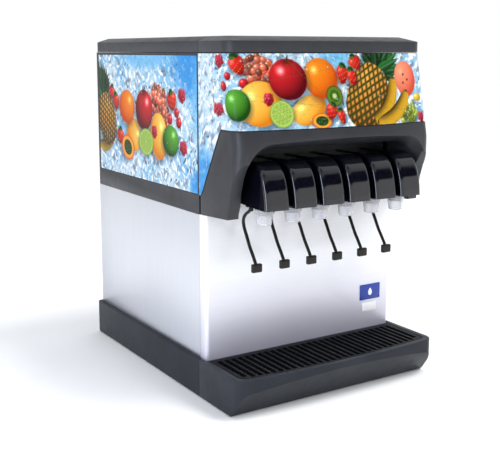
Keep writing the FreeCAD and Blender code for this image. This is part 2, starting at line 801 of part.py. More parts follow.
def nozzle(number):
    """Clear twist-on nozzle: a collar over a tapering spout, with two small grip wings."""
    body = new_body(f"nozzle_{number}")
    top = dim("nozzle_top")
    tip = dim("nozzle_bottom")
    step = top - 11
    revolve(body, [(13.3, top), (17.5, top), (17.5, step + 1), (15.8, step - 2), (13.5, tip),
                   (11, tip), (12.6, step - 4), (13.3, step - 2)])
    sketch = new_sketch(body, "XZ")
    for side in (-1, 1):
        rectangle(sketch, side * 17, step + 2, side * 20, top - 1)
    pad(body, sketch, 4, both=True)
    return place(body, valve_x(number), "nozzle_y")


ROD_ROUTE = [(-50, 374), (-30, 364), (-20.5, 345), (-45, 302), (-66, 274)]


def rounded_path(points, share=0.42):
    """Straight runs through the points with an arc at each corner, as one wire in the YZ plane."""
    corners = [Vector(0, y, z) for y, z in points]
    edges = []
    start = corners[0]
    for before, corner, after in zip(corners, corners[1:], corners[2:]):
        to_before = (before - corner).normalize()
        to_after = (after - corner).normalize()
        reach = share * min((before - corner).Length, (after - corner).Length)
        first = corner + to_before * reach
        last = corner + to_after * reach
        half_angle = to_before.getAngle(to_after) / 2
        bisector = (to_before + to_after).normalize()
        radius = reach * math.tan(half_angle)
        middle = corner + bisector * (reach / math.cos(half_angle) - radius)
        edges.append(Part.LineSegment(start, first).toShape())
        edges.append(Part.Arc(first, middle, last).toShape())
        start = last
    edges.append(Part.LineSegment(start, corners[-1]).toShape())
    return Part.Wire(edges)


def valve_lever(number):
    """Bent rod under the valve with a pivot barrel above and a rounded paddle below."""
    route = doc.addObject("Part::Feature", "rod_route")
    route.Shape = rounded_path(ROD_ROUTE)
    section = doc.addObject("Part::Circle", "rod_section")
    bind(section, ".Radius", "rod_radius")
    heading = Vector(0, ROD_ROUTE[1][0] - ROD_ROUTE[0][0], ROD_ROUTE[1][1] - ROD_ROUTE[0][1])
    section.Placement = Placement(Vector(0, *ROD_ROUTE[0]), Rotation(Vector(0, 0, 1), heading))
    rod = doc.addObject("Part::Sweep", "rod")
    rod.Sections = [section]
    rod.Spine = (route, [f"Edge{i + 1}" for i in range(len(route.Shape.Edges))])
    rod.Solid = True
    rod.Frenet = False
    stem = doc.addObject("Part::Box", "stem")
    stem.Length = 8
    stem.Width = 7
    stem.Height = 13
    stem.Placement.Base = Vector(-4, -53.5, 371)
    barrel = doc.addObject("Part::Cylinder", "barrel")
    barrel.Radius = 4.5
    barrel.Height = 12
    sideways = Rotation(Vector(0, 1, 0), 90)
    barrel.Placement = Placement(Vector(-6, dim("pivot_y"), dim("pivot_z")), sideways)
    paddle = doc.addObject("Part::Box", "paddle")
    paddle.Length = 22
    paddle.Width = 9
    paddle.Height = 17
    paddle.Placement.Base = Vector(-11, -73.5, 257)
    rounded = doc.addObject("Part::Fillet", "rounded_paddle")
    rounded.Base = paddle
    doc.recompute()
    rounded.Edges = [(i + 1, 2.2, 2.2) for i in range(len(paddle.Shape.Edges))]
    whole = doc.addObject("Part::MultiFuse", f"lever_{number}_solid")
    whole.Shapes = [rod, stem, barrel, rounded]
    pin = doc.addObject("Part::Cylinder", "pivot_bore")
    pin.Radius = 1.55
    pin.Height = 20
    pin.Placement = Placement(Vector(-10, dim("pivot_y"), dim("pivot_z")), sideways)
    lever = doc.addObject("Part::Cut", f"valve_lever_{number}")
    lever.Label = f"valve_lever_{number}"
    lever.Base = whole
    lever.Tool = pin
    doc.recompute()
    return place(lever, valve_x(number))


# ---------------------------------------------------------------- ice bank and cooling coils

def tank_insulation():
    """Foam block round the water bath."""
    body = new_body("tank_insulation")
    sketch = new_sketch(body, "XY", 14.2)
    rectangle(sketch, -226, 26, 226, 490)
    pad(body, sketch, 341)
    sketch = new_sketch(body, "XY", 355.2)
    rectangle(sketch, -196, 56, 196, 464)
    pocket(body, sketch, 310)
    return place(body)


def water_tank():
    """Open stainless bath."""
    wall = 1.5
    body = new_body("water_tank")
    sketch = new_sketch(body, "XY", 45.4)
    rectangle(sketch, -195.8, 56.2, 195.8, 463.8)
    pad(body, sketch, 310.6)
    sketch = new_sketch(body, "XY", 356)
    rectangle(sketch, wall - 195.8, 56.2 + wall, 195.8 - wall, 463.8 - wall)
    pocket(body, sketch, 310.6 - wall)
    return place(body)


def tube_coil(label, half_x, half_y, corner, tube, lowest, pitch, turns):
    """Stack of rounded rectangular turns brazed to two upright straps."""
    centre = 260
    strap_half = 1.5
    body = new_body(label)
    sketch = new_sketch(body, "XY", lowest - tube - 2)
    for side in (-1, 1):
        strap_y = centre + side * half_y
        rectangle(sketch, -8, strap_y - strap_half, 8, strap_y + strap_half)
    pad(body, sketch, pitch * (turns - 1) + 2 * tube + 4)
    route = new_sketch(body, "XY", lowest)
    slant = corner * (1 - math.sqrt(0.5))
    corners = []
    for sign_x, sign_y in ((1, 1), (-1, 1), (-1, -1), (1, -1)):
        along = Vector(sign_x * half_x, centre + sign_y * (half_y - corner), 0)
        across = Vector(sign_x * (half_x - corner), centre + sign_y * half_y, 0)
        middle = Vector(sign_x * (half_x - slant), centre + sign_y * (half_y - slant), 0)
        corners.append((along, middle, across) if sign_x == sign_y else (across, middle, along))
    edges = []
    for i, (start, middle, end) in enumerate(corners):
        edges.append(Part.Arc(start, middle, end))
        edges.append(Part.LineSegment(end, corners[(i + 1) % 4][0]))
    curves(route, edges)
    section = new_sketch(body, "YZ")
    circle(section, centre + half_y, lowest, tube)
    turn = body.newObject("PartDesign::AdditivePipe", body.Name + "_turn")
    turn.Profile = (section, [])
    turn.Spine = (route, [f"Edge{i + 1}" for i in range(len(edges))])
    doc.recompute()
    repeat(body, turn, section, "V_Axis", pitch, turns)
    return place(body)


def carbonator_tank():
    """Domed pressure vessel that stands in the bath inside the coils."""
    body = new_body("carbonator_tank")
    revolve(body, [(0, 60), (40, 64), (56, 78), (56, 282), (40, 296), (10, 300), (10, 310), (0, 310)])
    return place(body, -48, 260)


AGITATOR = (68, 260)


def agitator_motor():
    body = new_body("agitator_motor")
    revolve(body, [(5, 360.2), (50, 360.2), (50, 363.2), (42, 364), (42, 430), (34, 440), (0, 440),
                   (0, 380), (5, 380)])
    return place(body, *AGITATOR)


def agitator_impeller():
    """Shaft down into the bath with four flat blades at its foot."""
    body = new_body("agitator_impeller")
    revolve(body, [(0, 150), (7, 150), (7, 176), (3.5, 180), (3.5, 378), (0, 378)])
    sketch = new_sketch(body, "XZ")
    rectangle(sketch, -30, 153, 30, 173)
    pad(body, sketch, 2, both=True)
    sketch = new_sketch(body, "YZ")
    rectangle(sketch, -30, 153, 30, 173)
    pad(body, sketch, 2, both=True)
    return place(body, *AGITATOR)


# ---------------------------------------------------------------- refrigeration deck

def refrigeration_deck():
    body = new_body("refrigeration_deck")
    sketch = new_sketch(body, "XY", "deck - 3")
    rectangle(sketch, -226, 26, 226, 497)
    pad(body, sketch, 3)
    sketch = new_sketch(body, "XY", "deck + 1")
    circle(sketch, AGITATOR[0], AGITATOR[1], 9)
    pocket(body, sketch, 10)
    return place(body)


def compressor():
    """Welded compressor can on a base plate."""
    body = new_body("compressor")
    revolve(body, [(0, 360.2), (70, 360.2), (70, 364), (55, 364), (55, 372), (74, 380), (76, 430),
                   (75, 432), (77, 434), (75, 436), (72, 500), (55, 522), (20, 530), (0, 530)])
    return place(body, -118, 390)


FAN_X = 98
FAN_Z = 480


def condenser_core():
    """Finned core: a block cut by a row of narrow air gaps."""
    body = new_body("condenser_core")
    sketch = new_sketch(body, "XZ", -482)
    rectangle(sketch, -10, 365, 206, 595)
    pad(body, sketch, 34)
    sketch = new_sketch(body, "XZ", -483)
    rectangle(sketch, -2, 372, 4, 588)
    gaps = pocket(body, sketch, 23, back=True)
    repeat(body, gaps, sketch, "H_Axis", 9, 22)
    sketch = new_sketch(body, "XY", "deck + 0.2")
    rectangle(sketch, 0, 450, 196, 480)
    pad(body, sketch, 6)
    return place(body)


def fan_shroud():
    body = new_body("fan_shroud")
    sketch = new_sketch(body, "XZ", -447.5)
    rectangle(sketch, -10, 365, 206, 595)
    circle(sketch, FAN_X, FAN_Z, 90)
    pad(body, sketch, 4)
    sketch = new_sketch(body, "XZ", -443.5)
    circle(sketch, FAN_X, FAN_Z, 94)
    circle(sketch, FAN_X, FAN_Z, 90)
    pad(body, sketch, 22)
    return place(body)


def fan_blade():
    """Hub and six pitched blades."""
    blades = []
    hub = doc.addObject("Part::Cylinder", "fan_hub")
    hub.Radius = 22
    hub.Height = 18
    hub.Placement = Placement(Vector(0, 9, 0), Rotation(Vector(1, 0, 0), 90))
    blades.append(hub)
    for i in range(6):
        blade = doc.addObject("Part::Box", "fan_paddle")
        blade.Length = 66
        blade.Width = 1.6
        blade.Height = 34
        tilt = Rotation(Vector(1, 0, 0), 62)
        turn = Rotation(Vector(0, 1, 0), 60 * i)
        start = Placement(Vector(18, -0.8, -17), Rotation())
        blade.Placement = Placement(Vector(), turn).multiply(Placement(Vector(), tilt)).multiply(start)
        blades.append(blade)
    whole = doc.addObject("Part::MultiFuse", "fan_solid")
    whole.Shapes = blades
    bore = doc.addObject("Part::Cylinder", "fan_bore")
    bore.Radius = 4.05
    bore.Height = 30
    bore.Placement = Placement(Vector(0, 15, 0), Rotation(Vector(1, 0, 0), 90))
    fan = doc.addObject("Part::Cut", "fan_blade")
    fan.Label = "fan_blade"
    fan.Base = whole
    fan.Tool = bore
    doc.recompute()
    return place(fan, FAN_X, 431, FAN_Z)


def fan_motor():
    """Motor with its shaft through the fan's hub, on a bracket that stands on the deck."""
    body = new_body("fan_motor")
    sketch = new_sketch(body, "XZ", -370)
    circle(sketch, FAN_X, FAN_Z, 28)
    pad(body, sketch, 44, back=True)
    sketch = new_sketch(body, "XZ", -413)
    circle(sketch, FAN_X, FAN_Z, 4)
    pad(body, sketch, 25, back=True)
    sketch = new_sketch(body, "XZ", -380)
    rectangle(sketch, FAN_X - 15, "deck + 0.2", FAN_X + 15, FAN_Z)
    pad(body, sketch, 14, back=True)
    return place(body)


def water_pump():
    """Carbonator pump head and its motor on one cradle."""
    body = new_body("water_pump")
    sketch = new_sketch(body, "YZ", 40)
    circle(sketch, 130, 430, 50)
    pad(body, sketch, 120)
    sketch = new_sketch(body, "YZ", 158)
    circle(sketch, 130, 430, 26)
    pad(body, sketch, 40)
    sketch = new_sketch(body, "YZ", 60)
    rectangle(sketch, 95, "deck + 0.2", 165, 400)
    pad(body, sketch, 80)
    return place(body)


def control_box():
    body = new_body("control_box")
    sketch = new_sketch(body, "XY", "deck + 0.2")
    rectangle(sketch, -205, 60, -40, 190)
    pad(body, sketch, 150)
    dress(body, "Fillet", 4, is_upright)
    sketch = new_sketch(body, "XY", "deck + 150.2")
    rectangle(sketch, -208, 57, -37, 193)
    pad(body, sketch, 8)
    return place(body)


def filter_drier():
    body = new_body("filter_drier")
    revolve(body, [(0, 360.2), (16, 360.2), (16, 364), (6, 366), (4, 380), (17, 392),
                   (17, 470), (4, 484), (4, 500), (0, 500)])
    return place(body, -16, 340)


# ---------------------------------------------------------------- small trim

def badge():
    """Square plate and a small plain label below it on the splash panel."""
    plates = []
    for left, low, width, height, thick in ((149, 138.5, 55, 33.5, 1.4), (153, 113, 41, 18, 0.6)):
        plate = doc.addObject("Part::Box", "plate")
        plate.Length = width
        plate.Width = thick
        plate.Height = height
        plate.Placement.Base = Vector(left, -thick, low)
        plates.append(plate)
    group = doc.addObject("Part::Compound", "badge")
    group.Label = "badge"
    group.Links = plates
    return place(group)


def panel_screws():
    """Pan-head screws round the rear panel, as one group."""
    screws = []
    for x, z in screw_places():
        seat = Vector(x, dim("body_back + sheet"), z)
        shank = doc.addObject("Part::Cylinder", "shank")
        shank.Radius = 1.9
        shank.Height = 6
        shank.Placement = Placement(seat, Rotation(Vector(1, 0, 0), 90))
        head = doc.addObject("Part::Cone", "head")
        head.Radius1 = 4
        head.Radius2 = 2.8
        head.Height = 2
        head.Placement = Placement(seat, Rotation(Vector(1, 0, 0), -90))
        screw = doc.addObject("Part::Fuse", "screw")
        screw.Base = head
        screw.Tool = shank
        screws.append(screw)
    group = doc.addObject("Part::Compound", "panel_screws")
    group.Label = "panel_screws"
    group.Links = screws
    return place(group)


base_pan()
rubber_feet()
drip_tray()
cup_rest()
splash_panel()
side_panel("side_panel_left", -1)
side_panel("side_panel_right", 1)
rear_panel()
inlet_fittings()
cord_gland()
upper_frame()
side_graphic("graphic_panel_left", -1)
side_graphic("graphic_panel_right", 1)
front_graphic()
valve_bezel()
valve_mount_plate()
front_hood()
top_cover()
for valve in VALVES:
    valve_cover(valve)
    valve_body(valve)
    nozzle(valve)
    valve_lever(valve)
tank_insulation()
water_tank()
tube_coil("evaporator_coil", 170, 180, 40, 4.8, 70, 26, 10)
tube_coil("product_coil", 128, 138, 36, 4, 62, 18, 14)
carbonator_tank()
agitator_motor()
agitator_impeller()
refrigeration_deck()
compressor()
condenser_core()
fan_shroud()
fan_blade()
fan_motor()
water_pump()
control_box()
filter_drier()
badge()
panel_screws()
doc.recompute()

faults = [f"{item.Label}: {item.State}" for item in doc.Objects
          if "Invalid" in item.State or "Error" in item.State]
for item in parts:
    if item.Shape.isNull() or not item.Shape.isValid() or not item.Shape.Solids:
        faults.append(f"{item.Label}: no valid solid")
if faults:
    raise RuntimeError("; ".join(faults))

os.makedirs("parts", exist_ok=True)
for item in parts:
    item.Shape.exportStep(f"parts/{item.Label}.step")
print(len(parts), "nodes written")
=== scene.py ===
"""Looks of the six-valve fountain soda dispenser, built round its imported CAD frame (metres)."""
import json
import math

import bmesh
import bpy
import numpy as np
from mathutils import Matrix, Vector


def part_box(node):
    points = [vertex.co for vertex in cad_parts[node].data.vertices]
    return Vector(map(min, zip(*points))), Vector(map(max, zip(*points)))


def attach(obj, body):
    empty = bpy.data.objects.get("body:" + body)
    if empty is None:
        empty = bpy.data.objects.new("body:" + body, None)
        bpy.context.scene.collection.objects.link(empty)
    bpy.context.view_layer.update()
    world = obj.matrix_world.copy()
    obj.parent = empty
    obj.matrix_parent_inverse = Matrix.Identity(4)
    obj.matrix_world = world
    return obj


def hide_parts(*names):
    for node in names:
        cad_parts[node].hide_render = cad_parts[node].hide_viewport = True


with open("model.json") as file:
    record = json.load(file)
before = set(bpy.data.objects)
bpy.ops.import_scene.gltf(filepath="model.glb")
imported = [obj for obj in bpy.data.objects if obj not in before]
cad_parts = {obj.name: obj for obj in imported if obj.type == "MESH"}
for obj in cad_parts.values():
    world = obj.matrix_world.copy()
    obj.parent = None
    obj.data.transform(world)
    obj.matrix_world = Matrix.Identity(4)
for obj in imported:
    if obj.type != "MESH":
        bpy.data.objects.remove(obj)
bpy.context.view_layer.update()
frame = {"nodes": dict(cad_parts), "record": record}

MM = 0.001
HOUSING = "housing"
VALVES = range(1, 7)


def box_mm(node):
    low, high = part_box(node)
    return np.array(low) / MM, np.array(high) / MM


# Places that the frame gives, in millimetres: the splash plane and the body's outer sizes.
splash_y = box_mm("splash_panel")[0][1]
body_half = box_mm("splash_panel")[1][0]
seam_y = box_mm("front_graphic")[1][1]
panel_top = box_mm("front_graphic")[1][2]
brow_z = box_mm("valve_bezel")[1][2] + 0.4

# Shape of the bowed front panel, by the CAD model's rule: corner radius, then (reach, bow) at each end.
CORNER = 28.0
PANEL_TOP_SHAPE = (94.0, 10.0)
PANEL_LOW_SHAPE = (134.0, 25.0)

# Stretches of the noise that gives each material its grain.
EVEN = (1, 1, 1)
ACROSS = (1.5, 60, 60)
UPRIGHT = (60, 60, 1.5)


# ---------------------------------------------------------------- materials

def new_material(name):
    material = bpy.data.materials.new(name)
    material.use_nodes = True
    tree = material.node_tree
    shader = tree.nodes["Principled BSDF"]
    return material, tree, shader


def add(tree, kind, **inputs):
    node = tree.nodes.new("ShaderNode" + kind)
    for key, value in inputs.items():
        node.inputs[key.replace("_", " ")].default_value = value
    return node


def mapped_noise(tree, stretch, scale, detail=4.0, roughness=0.55):
    """Noise on object coordinates, stretched along the axes by the three factors."""
    place = tree.nodes.new("ShaderNodeTexCoord")
    mapping = tree.nodes.new("ShaderNodeMapping")
    mapping.inputs["Scale"].default_value = stretch
    tree.links.new(place.outputs["Object"], mapping.inputs["Vector"])
    noise = add(tree, "TexNoise", Scale=scale, Detail=detail, Roughness=roughness)
    tree.links.new(mapping.outputs["Vector"], noise.inputs["Vector"])
    return noise.outputs["Fac"]


def remap(tree, value, low, high, start=0.3, end=0.7):
    node = tree.nodes.new("ShaderNodeMapRange")
    node.inputs["From Min"].default_value = start
    node.inputs["From Max"].default_value = end
    node.inputs["To Min"].default_value = low
    node.inputs["To Max"].default_value = high
    tree.links.new(value, node.inputs["Value"])
    return node.outputs["Result"]


def blend_colours(tree, factor, first, second):
    """Mixes two colours, each a plain colour or another node's output."""
    mix = tree.nodes.new("ShaderNodeMix")
    mix.data_type = "RGBA"
    sockets = [s for s in mix.inputs if s.type == "RGBA"]
    for socket, colour in zip(sockets, (first, second)):
        if isinstance(colour, bpy.types.NodeSocket):
            tree.links.new(colour, socket)
        else:
            socket.default_value = (*colour, 1)
    tree.links.new(factor, mix.inputs["Factor"])
    return [s for s in mix.outputs if s.type == "RGBA"][0]


def tinted(colour, factor, lift=0.0):
    """The colour made darker or lighter, kept within range."""
    return tuple(min(1, c * factor + lift) for c in colour)


def bump(tree, shader, height, strength, distance):
    node = add(tree, "Bump", Strength=strength, Distance=distance)
    tree.links.new(height, node.inputs["Height"])
    tree.links.new(node.outputs["Normal"], shader.inputs["Normal"])


def moulded_plastic(name, colour, rough, grain=0.25, grain_size=900.0, worn=0.35, specular=0.5):
    """Textured moulding: cloudy tone, fine pebble grain and edges that are rubbed lighter."""
    material, tree, shader = new_material(name)
    cloud = remap(tree, mapped_noise(tree, EVEN, 14.0), 0.0, 1.0)
    darker = tinted(colour, 0.82)
    lighter = tinted(colour, 1.2, 0.001)
    tone = blend_colours(tree, cloud, darker, lighter)
    geometry = tree.nodes.new("ShaderNodeNewGeometry")
    edge = remap(tree, geometry.outputs["Pointiness"], 0.0, worn, 0.52, 0.62)
    rubbed = tinted(colour, 1.9, 0.02)
    tree.links.new(blend_colours(tree, edge, tone, rubbed), shader.inputs["Base Color"])
    scuffs = mapped_noise(tree, EVEN, 60.0, 6.0, 0.65)
    tree.links.new(remap(tree, scuffs, rough - 0.06, rough + 0.08), shader.inputs["Roughness"])
    bump(tree, shader, mapped_noise(tree, EVEN, grain_size, 2.0), grain, 0.0003)
    shader.inputs["Specular IOR Level"].default_value = specular
    return material


def brushed_metal(name, reflected_low_tone, high_tone, rough, stretch, low_z, high_z, metallic=0.9):
    """Brushed sheet: fine streaks along one axis, a painted reflection that darkens it towards the
    bottom, faint smudges.
    """
    material, tree, shader = new_material(name)
    place = tree.nodes.new("ShaderNodeTexCoord")
    split = tree.nodes.new("ShaderNodeSeparateXYZ")
    tree.links.new(place.outputs["Object"], split.inputs["Vector"])
    # Painted reflection: the tone darkens towards the bottom, standing in for the dark tray and base
    # below that the sheet mirrors.
    height = remap(tree, split.outputs["Z"], 0.0, 1.0, low_z, high_z)
    tone = blend_colours(tree, height, reflected_low_tone, high_tone)
    streaks = mapped_noise(tree, stretch, 6.0, 8.0, 0.7)
    fine = remap(tree, streaks, 0.0, 0.1)
    shade = tinted(reflected_low_tone, 0.72)
    smudge = remap(tree, mapped_noise(tree, EVEN, 7.0, 3.0), 0.0, 0.12)
    brushed = blend_colours(tree, fine, tone, shade)
    tree.links.new(blend_colours(tree, smudge, brushed, high_tone), shader.inputs["Base Color"])
    tree.links.new(remap(tree, streaks, rough - 0.07, rough + 0.09), shader.inputs["Roughness"])
    bump(tree, shader, streaks, 0.12, 0.0002)
    shader.inputs["Metallic"].default_value = metallic
    return material


def gloss_moulding(name, colour, rough, coat=0.6):
    """Polished moulding: deep colour, very slight orange peel and a clear coat."""
    material, tree, shader = new_material(name)
    dust = remap(tree, mapped_noise(tree, EVEN, 160.0, 5.0), 0.0, 0.03)
    tree.links.new(blend_colours(tree, dust, colour, (0.10, 0.10, 0.12)), shader.inputs["Base Color"])
    haze = mapped_noise(tree, EVEN, 25.0, 3.0)
    tree.links.new(remap(tree, haze, rough, rough + 0.06), shader.inputs["Roughness"])
    bump(tree, shader, mapped_noise(tree, EVEN, 45.0, 1.0), 0.05, 0.0006)
    shader.inputs["Coat Weight"].default_value = coat
    shader.inputs["Coat Roughness"].default_value = 0.06
    return material


def clear_plastic(name, tint):
    material, tree, shader = new_material(name)
    cloud = remap(tree, mapped_noise(tree, EVEN, 80.0, 3.0), 0.0, 1.0)
    paler = tinted(tint, 1.08)
    tree.links.new(blend_colours(tree, cloud, tint, paler), shader.inputs["Base Color"])
    tree.links.new(remap(tree, mapped_noise(tree, EVEN, 200.0), 0.10, 0.22),
                   shader.inputs["Roughness"])
    shader.inputs["Transmission Weight"].default_value = 0.75
    shader.inputs["IOR"].default_value = 1.49
    return material


def printed_film(name):
    """Satin printed film: its colours are the ones painted on the mesh, with a fine print grain."""
    rough = 0.28
    material, tree, shader = new_material(name)
    ink = add(tree, "Attribute")
    ink.attribute_name = "ink"
    grain = remap(tree, mapped_noise(tree, EVEN, 1400.0, 2.0), 0.0, 0.08)
    tree.links.new(blend_colours(tree, grain, ink.outputs["Color"], (0, 0, 0)),
                   shader.inputs["Base Color"])
    tree.links.new(remap(tree, mapped_noise(tree, EVEN, 9.0), rough - 0.04, rough + 0.08),
                   shader.inputs["Roughness"])
    bump(tree, shader, mapped_noise(tree, EVEN, 30.0, 1.0), 0.04, 0.001)
    shader.inputs["Specular IOR Level"].default_value = 0.12
    return material


def cast_metal(name, colour, rough, size=120.0):
    """Drawn, plated or spun metal with a mottled tone and light tarnish."""
    material, tree, shader = new_material(name)
    mottled = remap(tree, mapped_noise(tree, EVEN, size, 6.0, 0.65), 0.0, 1.0)
    darker = tinted(colour, 0.75)
    tree.links.new(blend_colours(tree, mottled, darker, colour), shader.inputs["Base Color"])
    tree.links.new(remap(tree, mottled, rough + 0.1, rough - 0.05, 0.0, 1.0), shader.inputs["Roughness"])
    bump(tree, shader, mapped_noise(tree, EVEN, size * 6, 2.0), 0.1, 0.0002)
    shader.inputs["Metallic"].default_value = 0.85
    return material


SLOT_MATERIALS = {
    # The steels' first colours are painted reflection of the dark tray and base below them, laid on
    # their lower parts.
    "stainless_front": brushed_metal("steel_front", (0.64, 0.62, 0.76), (0.93, 0.94, 0.96), 0.42,
                                     ACROSS, 0.06, 0.26, metallic=0.42),
    "stainless_side": brushed_metal("steel_side", (0.62, 0.64, 0.70), (0.78, 0.80, 0.84), 0.36,
                                    UPRIGHT, 0.07, 0.40),
    "dark_plastic": moulded_plastic("dark_moulding", (0.021, 0.022, 0.026), 0.40, specular=0.4),
    "tray_plastic": moulded_plastic("tray_moulding", (0.022, 0.025, 0.032), 0.36, grain=0.1,
                                    specular=0.12),
    "grille_plastic": moulded_plastic("grille_moulding", (0.003, 0.0035, 0.0045), 0.40, grain=0.1,
                                      worn=0.1, specular=0.07),
    "gloss_black": gloss_moulding("black_gloss", (0.0006, 0.0008, 0.0040), 0.05),
    "lever_plastic": moulded_plastic("lever_moulding", (0.009, 0.007, 0.005), 0.34, grain=0.1,
                                     specular=0.3),
    "clear_nozzle": clear_plastic("clear_spout", (0.93, 0.93, 0.99)),
    "valve_grey": moulded_plastic("valve_moulding", (0.008, 0.008, 0.010), 0.5, specular=0.2),
    "graphic_print": moulded_plastic("panel_backing", (0.012, 0.012, 0.015), 0.4, worn=0.0),
    "galvanised": cast_metal("zinc_sheet", (0.55, 0.56, 0.58), 0.42, size=40.0),
    "bath_steel": cast_metal("bath_sheet", (0.62, 0.62, 0.64), 0.32),
    "foam": moulded_plastic("cream_foam", (0.72, 0.66, 0.50), 0.85, grain=0.8, grain_size=260.0,
                            worn=0.0),
    "copper": cast_metal("copper_tube", (0.80, 0.42, 0.26), 0.28),
    "coil_steel": cast_metal("steel_tube", (0.62, 0.63, 0.65), 0.27),
    "black_enamel": gloss_moulding("enamel", (0.012, 0.012, 0.014), 0.2),
    "fins": cast_metal("fin_stock", (0.68, 0.69, 0.71), 0.3),
    "rubber_black": moulded_plastic("foot_rubber", (0.015, 0.015, 0.015), 0.8, worn=0.0),
    "zinc_screw": cast_metal("screw_zinc", (0.7, 0.7, 0.72), 0.25),
    "badge_blue": gloss_moulding("badge_enamel", (0.009, 0.040, 0.32), 0.25, coat=0.0),
}
SLOT_OF = {entry["node"]: entry["material_slot"] for entry in frame["record"]["subparts"]}
for node_name, node_object in frame["nodes"].items():
    node_object.data.materials.clear()
    node_object.data.materials.append(SLOT_MATERIALS[SLOT_OF[node_name]])


# ---------------------------------------------------------------- mesh tools

def new_piece(name, mesh, body, slot, material=None, replaced=()):
    piece = bpy.data.objects.new(name, mesh)
    bpy.context.collection.objects.link(piece)
    mesh.materials.clear()
    mesh.materials.append(material or SLOT_MATERIALS[slot])
    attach(piece, body)
    if replaced:
        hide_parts(*replaced)
    return piece


def finished_mesh(name, shape):
    """Turns a bmesh into a mesh and frees it."""
    mesh = bpy.data.meshes.new(name)
    shape.to_mesh(mesh)
    shape.free()
    return mesh


def smooth(mesh, angle=35.0):
    mesh.shade_smooth()
    mesh.set_sharp_from_angle(angle=math.radians(angle))


def apply_modifiers(piece):
    graph = bpy.context.evaluated_depsgraph_get()
    mesh = bpy.data.meshes.new_from_object(piece.evaluated_get(graph))
    old = piece.data
    piece.modifiers.clear()
    piece.data = mesh
    bpy.data.meshes.remove(old)
    return mesh


def grid_mesh(name, rows, closed_rows=False, closed_columns=False):
    """Quads over a grid of points: rows[j][i] in millimetres."""
    points = np.asarray(rows, float)
    count_j, count_i = points.shape[:2]
    faces = []
    for j in range(count_j if closed_rows else count_j - 1):
        for i in range(count_i if closed_columns else count_i - 1):
            right = (i + 1) % count_i
            up = (j + 1) % count_j
            faces.append((j * count_i + i, j * count_i + right, up * count_i + right, up * count_i + i))
    mesh = bpy.data.meshes.new(name)
    mesh.from_pydata((points.reshape(-1, 3) * MM).tolist(), [], faces)
    mesh.update()
    return mesh


def edged_copy(node, width, segments=3):
    """The CAD node's own shape with its flat faces rejoined and every sharp edge rounded."""
    weld_gap = 1e-5
    flat_within = math.radians(0.15)
    mesh = frame["nodes"][node].data.copy()
    shape = bmesh.new()
    shape.from_mesh(mesh)
    bmesh.ops.remove_doubles(shape, verts=shape.verts, dist=weld_gap)
    bmesh.ops.dissolve_limit(shape, angle_limit=flat_within, verts=shape.verts, edges=shape.edges)
    shape.to_mesh(mesh)
    shape.free()
    for key in list(mesh.attributes.keys()):
        if key in ("sharp_face", "sharp_edge", "custom_normal"):
            mesh.attributes.remove(mesh.attributes[key])
    bodies = frame["record"]["behaviour"]["bodies"]
    body = next(name for name, nodes in bodies.items() if node in nodes)
    piece = new_piece(node + "_moulding", mesh, body, SLOT_OF[node], replaced=(node,))
    bevel = piece.modifiers.new("edges", "BEVEL")
    bevel.width = width * MM
    bevel.segments = segments
    bevel.limit_method = "ANGLE"
    bevel.angle_limit = math.radians(28.0)
    bevel.use_clamp_overlap = True
    bevel.harden_normals = False
    smooth(apply_modifiers(piece), 38.0)


# ---------------------------------------------------------------- bowed outline

def bowed_station(part, share, reach, bow, corner, half, back):
    """Point (x, y) on the bowed plan outline; part is 'side', 'corner' or 'front' on the right half."""
    radius = (half * half + bow * bow) / (2 * bow)
    centre_y = radius - reach
    corner_x = half - corner
    corner_y = centre_y - math.sqrt((radius - corner) ** 2 - corner_x ** 2)
    scale = radius / (radius - corner)
    touch = (corner_x * scale, centre_y + (corner_y - centre_y) * scale)
    if part == "side":
        return half, back + (corner_y - back) * share
    if part == "corner":
        end = math.atan2(touch[1] - corner_y, touch[0] - corner_x)
        turn = end * share
        return corner_x + corner * math.cos(turn), corner_y + corner * math.sin(turn)
    sweep = math.asin(touch[0] / radius) * (1 - share)
    return radius * math.sin(sweep), centre_y - radius * math.cos(sweep)


def panel_shape(z):
    """Reach and bow of the front panel at a height."""
    share = (z - brow_z) / (panel_top - brow_z)
    low, high = PANEL_LOW_SHAPE, PANEL_TOP_SHAPE
    return (low[0] + (high[0] - low[0]) * share, low[1] + (high[1] - low[1]) * share)


# ---------------------------------------------------------------- the printed graphics

SUN = np.array((-0.42, 0.50, 0.757))    # where the light inside the picture comes from
INK_DENSITY = 0.78                      # share of the light that the ink gives back


def soft(value, width):
    return np.clip(value / width + 0.5, 0, 1)


def ripples(s, z, seed, size, count=9):
    """Smooth seeded pattern between -1 and 1, a sum of tilted waves."""
    draw = np.random.default_rng(seed)
    total = np.zeros_like(s)
    for _ in range(count):
        turn = draw.uniform(0, math.tau)
        pitch = size * draw.uniform(0.6, 1.7)
        total += np.sin((s * math.cos(turn) + z * math.sin(turn)) * math.tau / pitch
                        + draw.uniform(0, math.tau))
    return total / math.sqrt(count) / 1.4


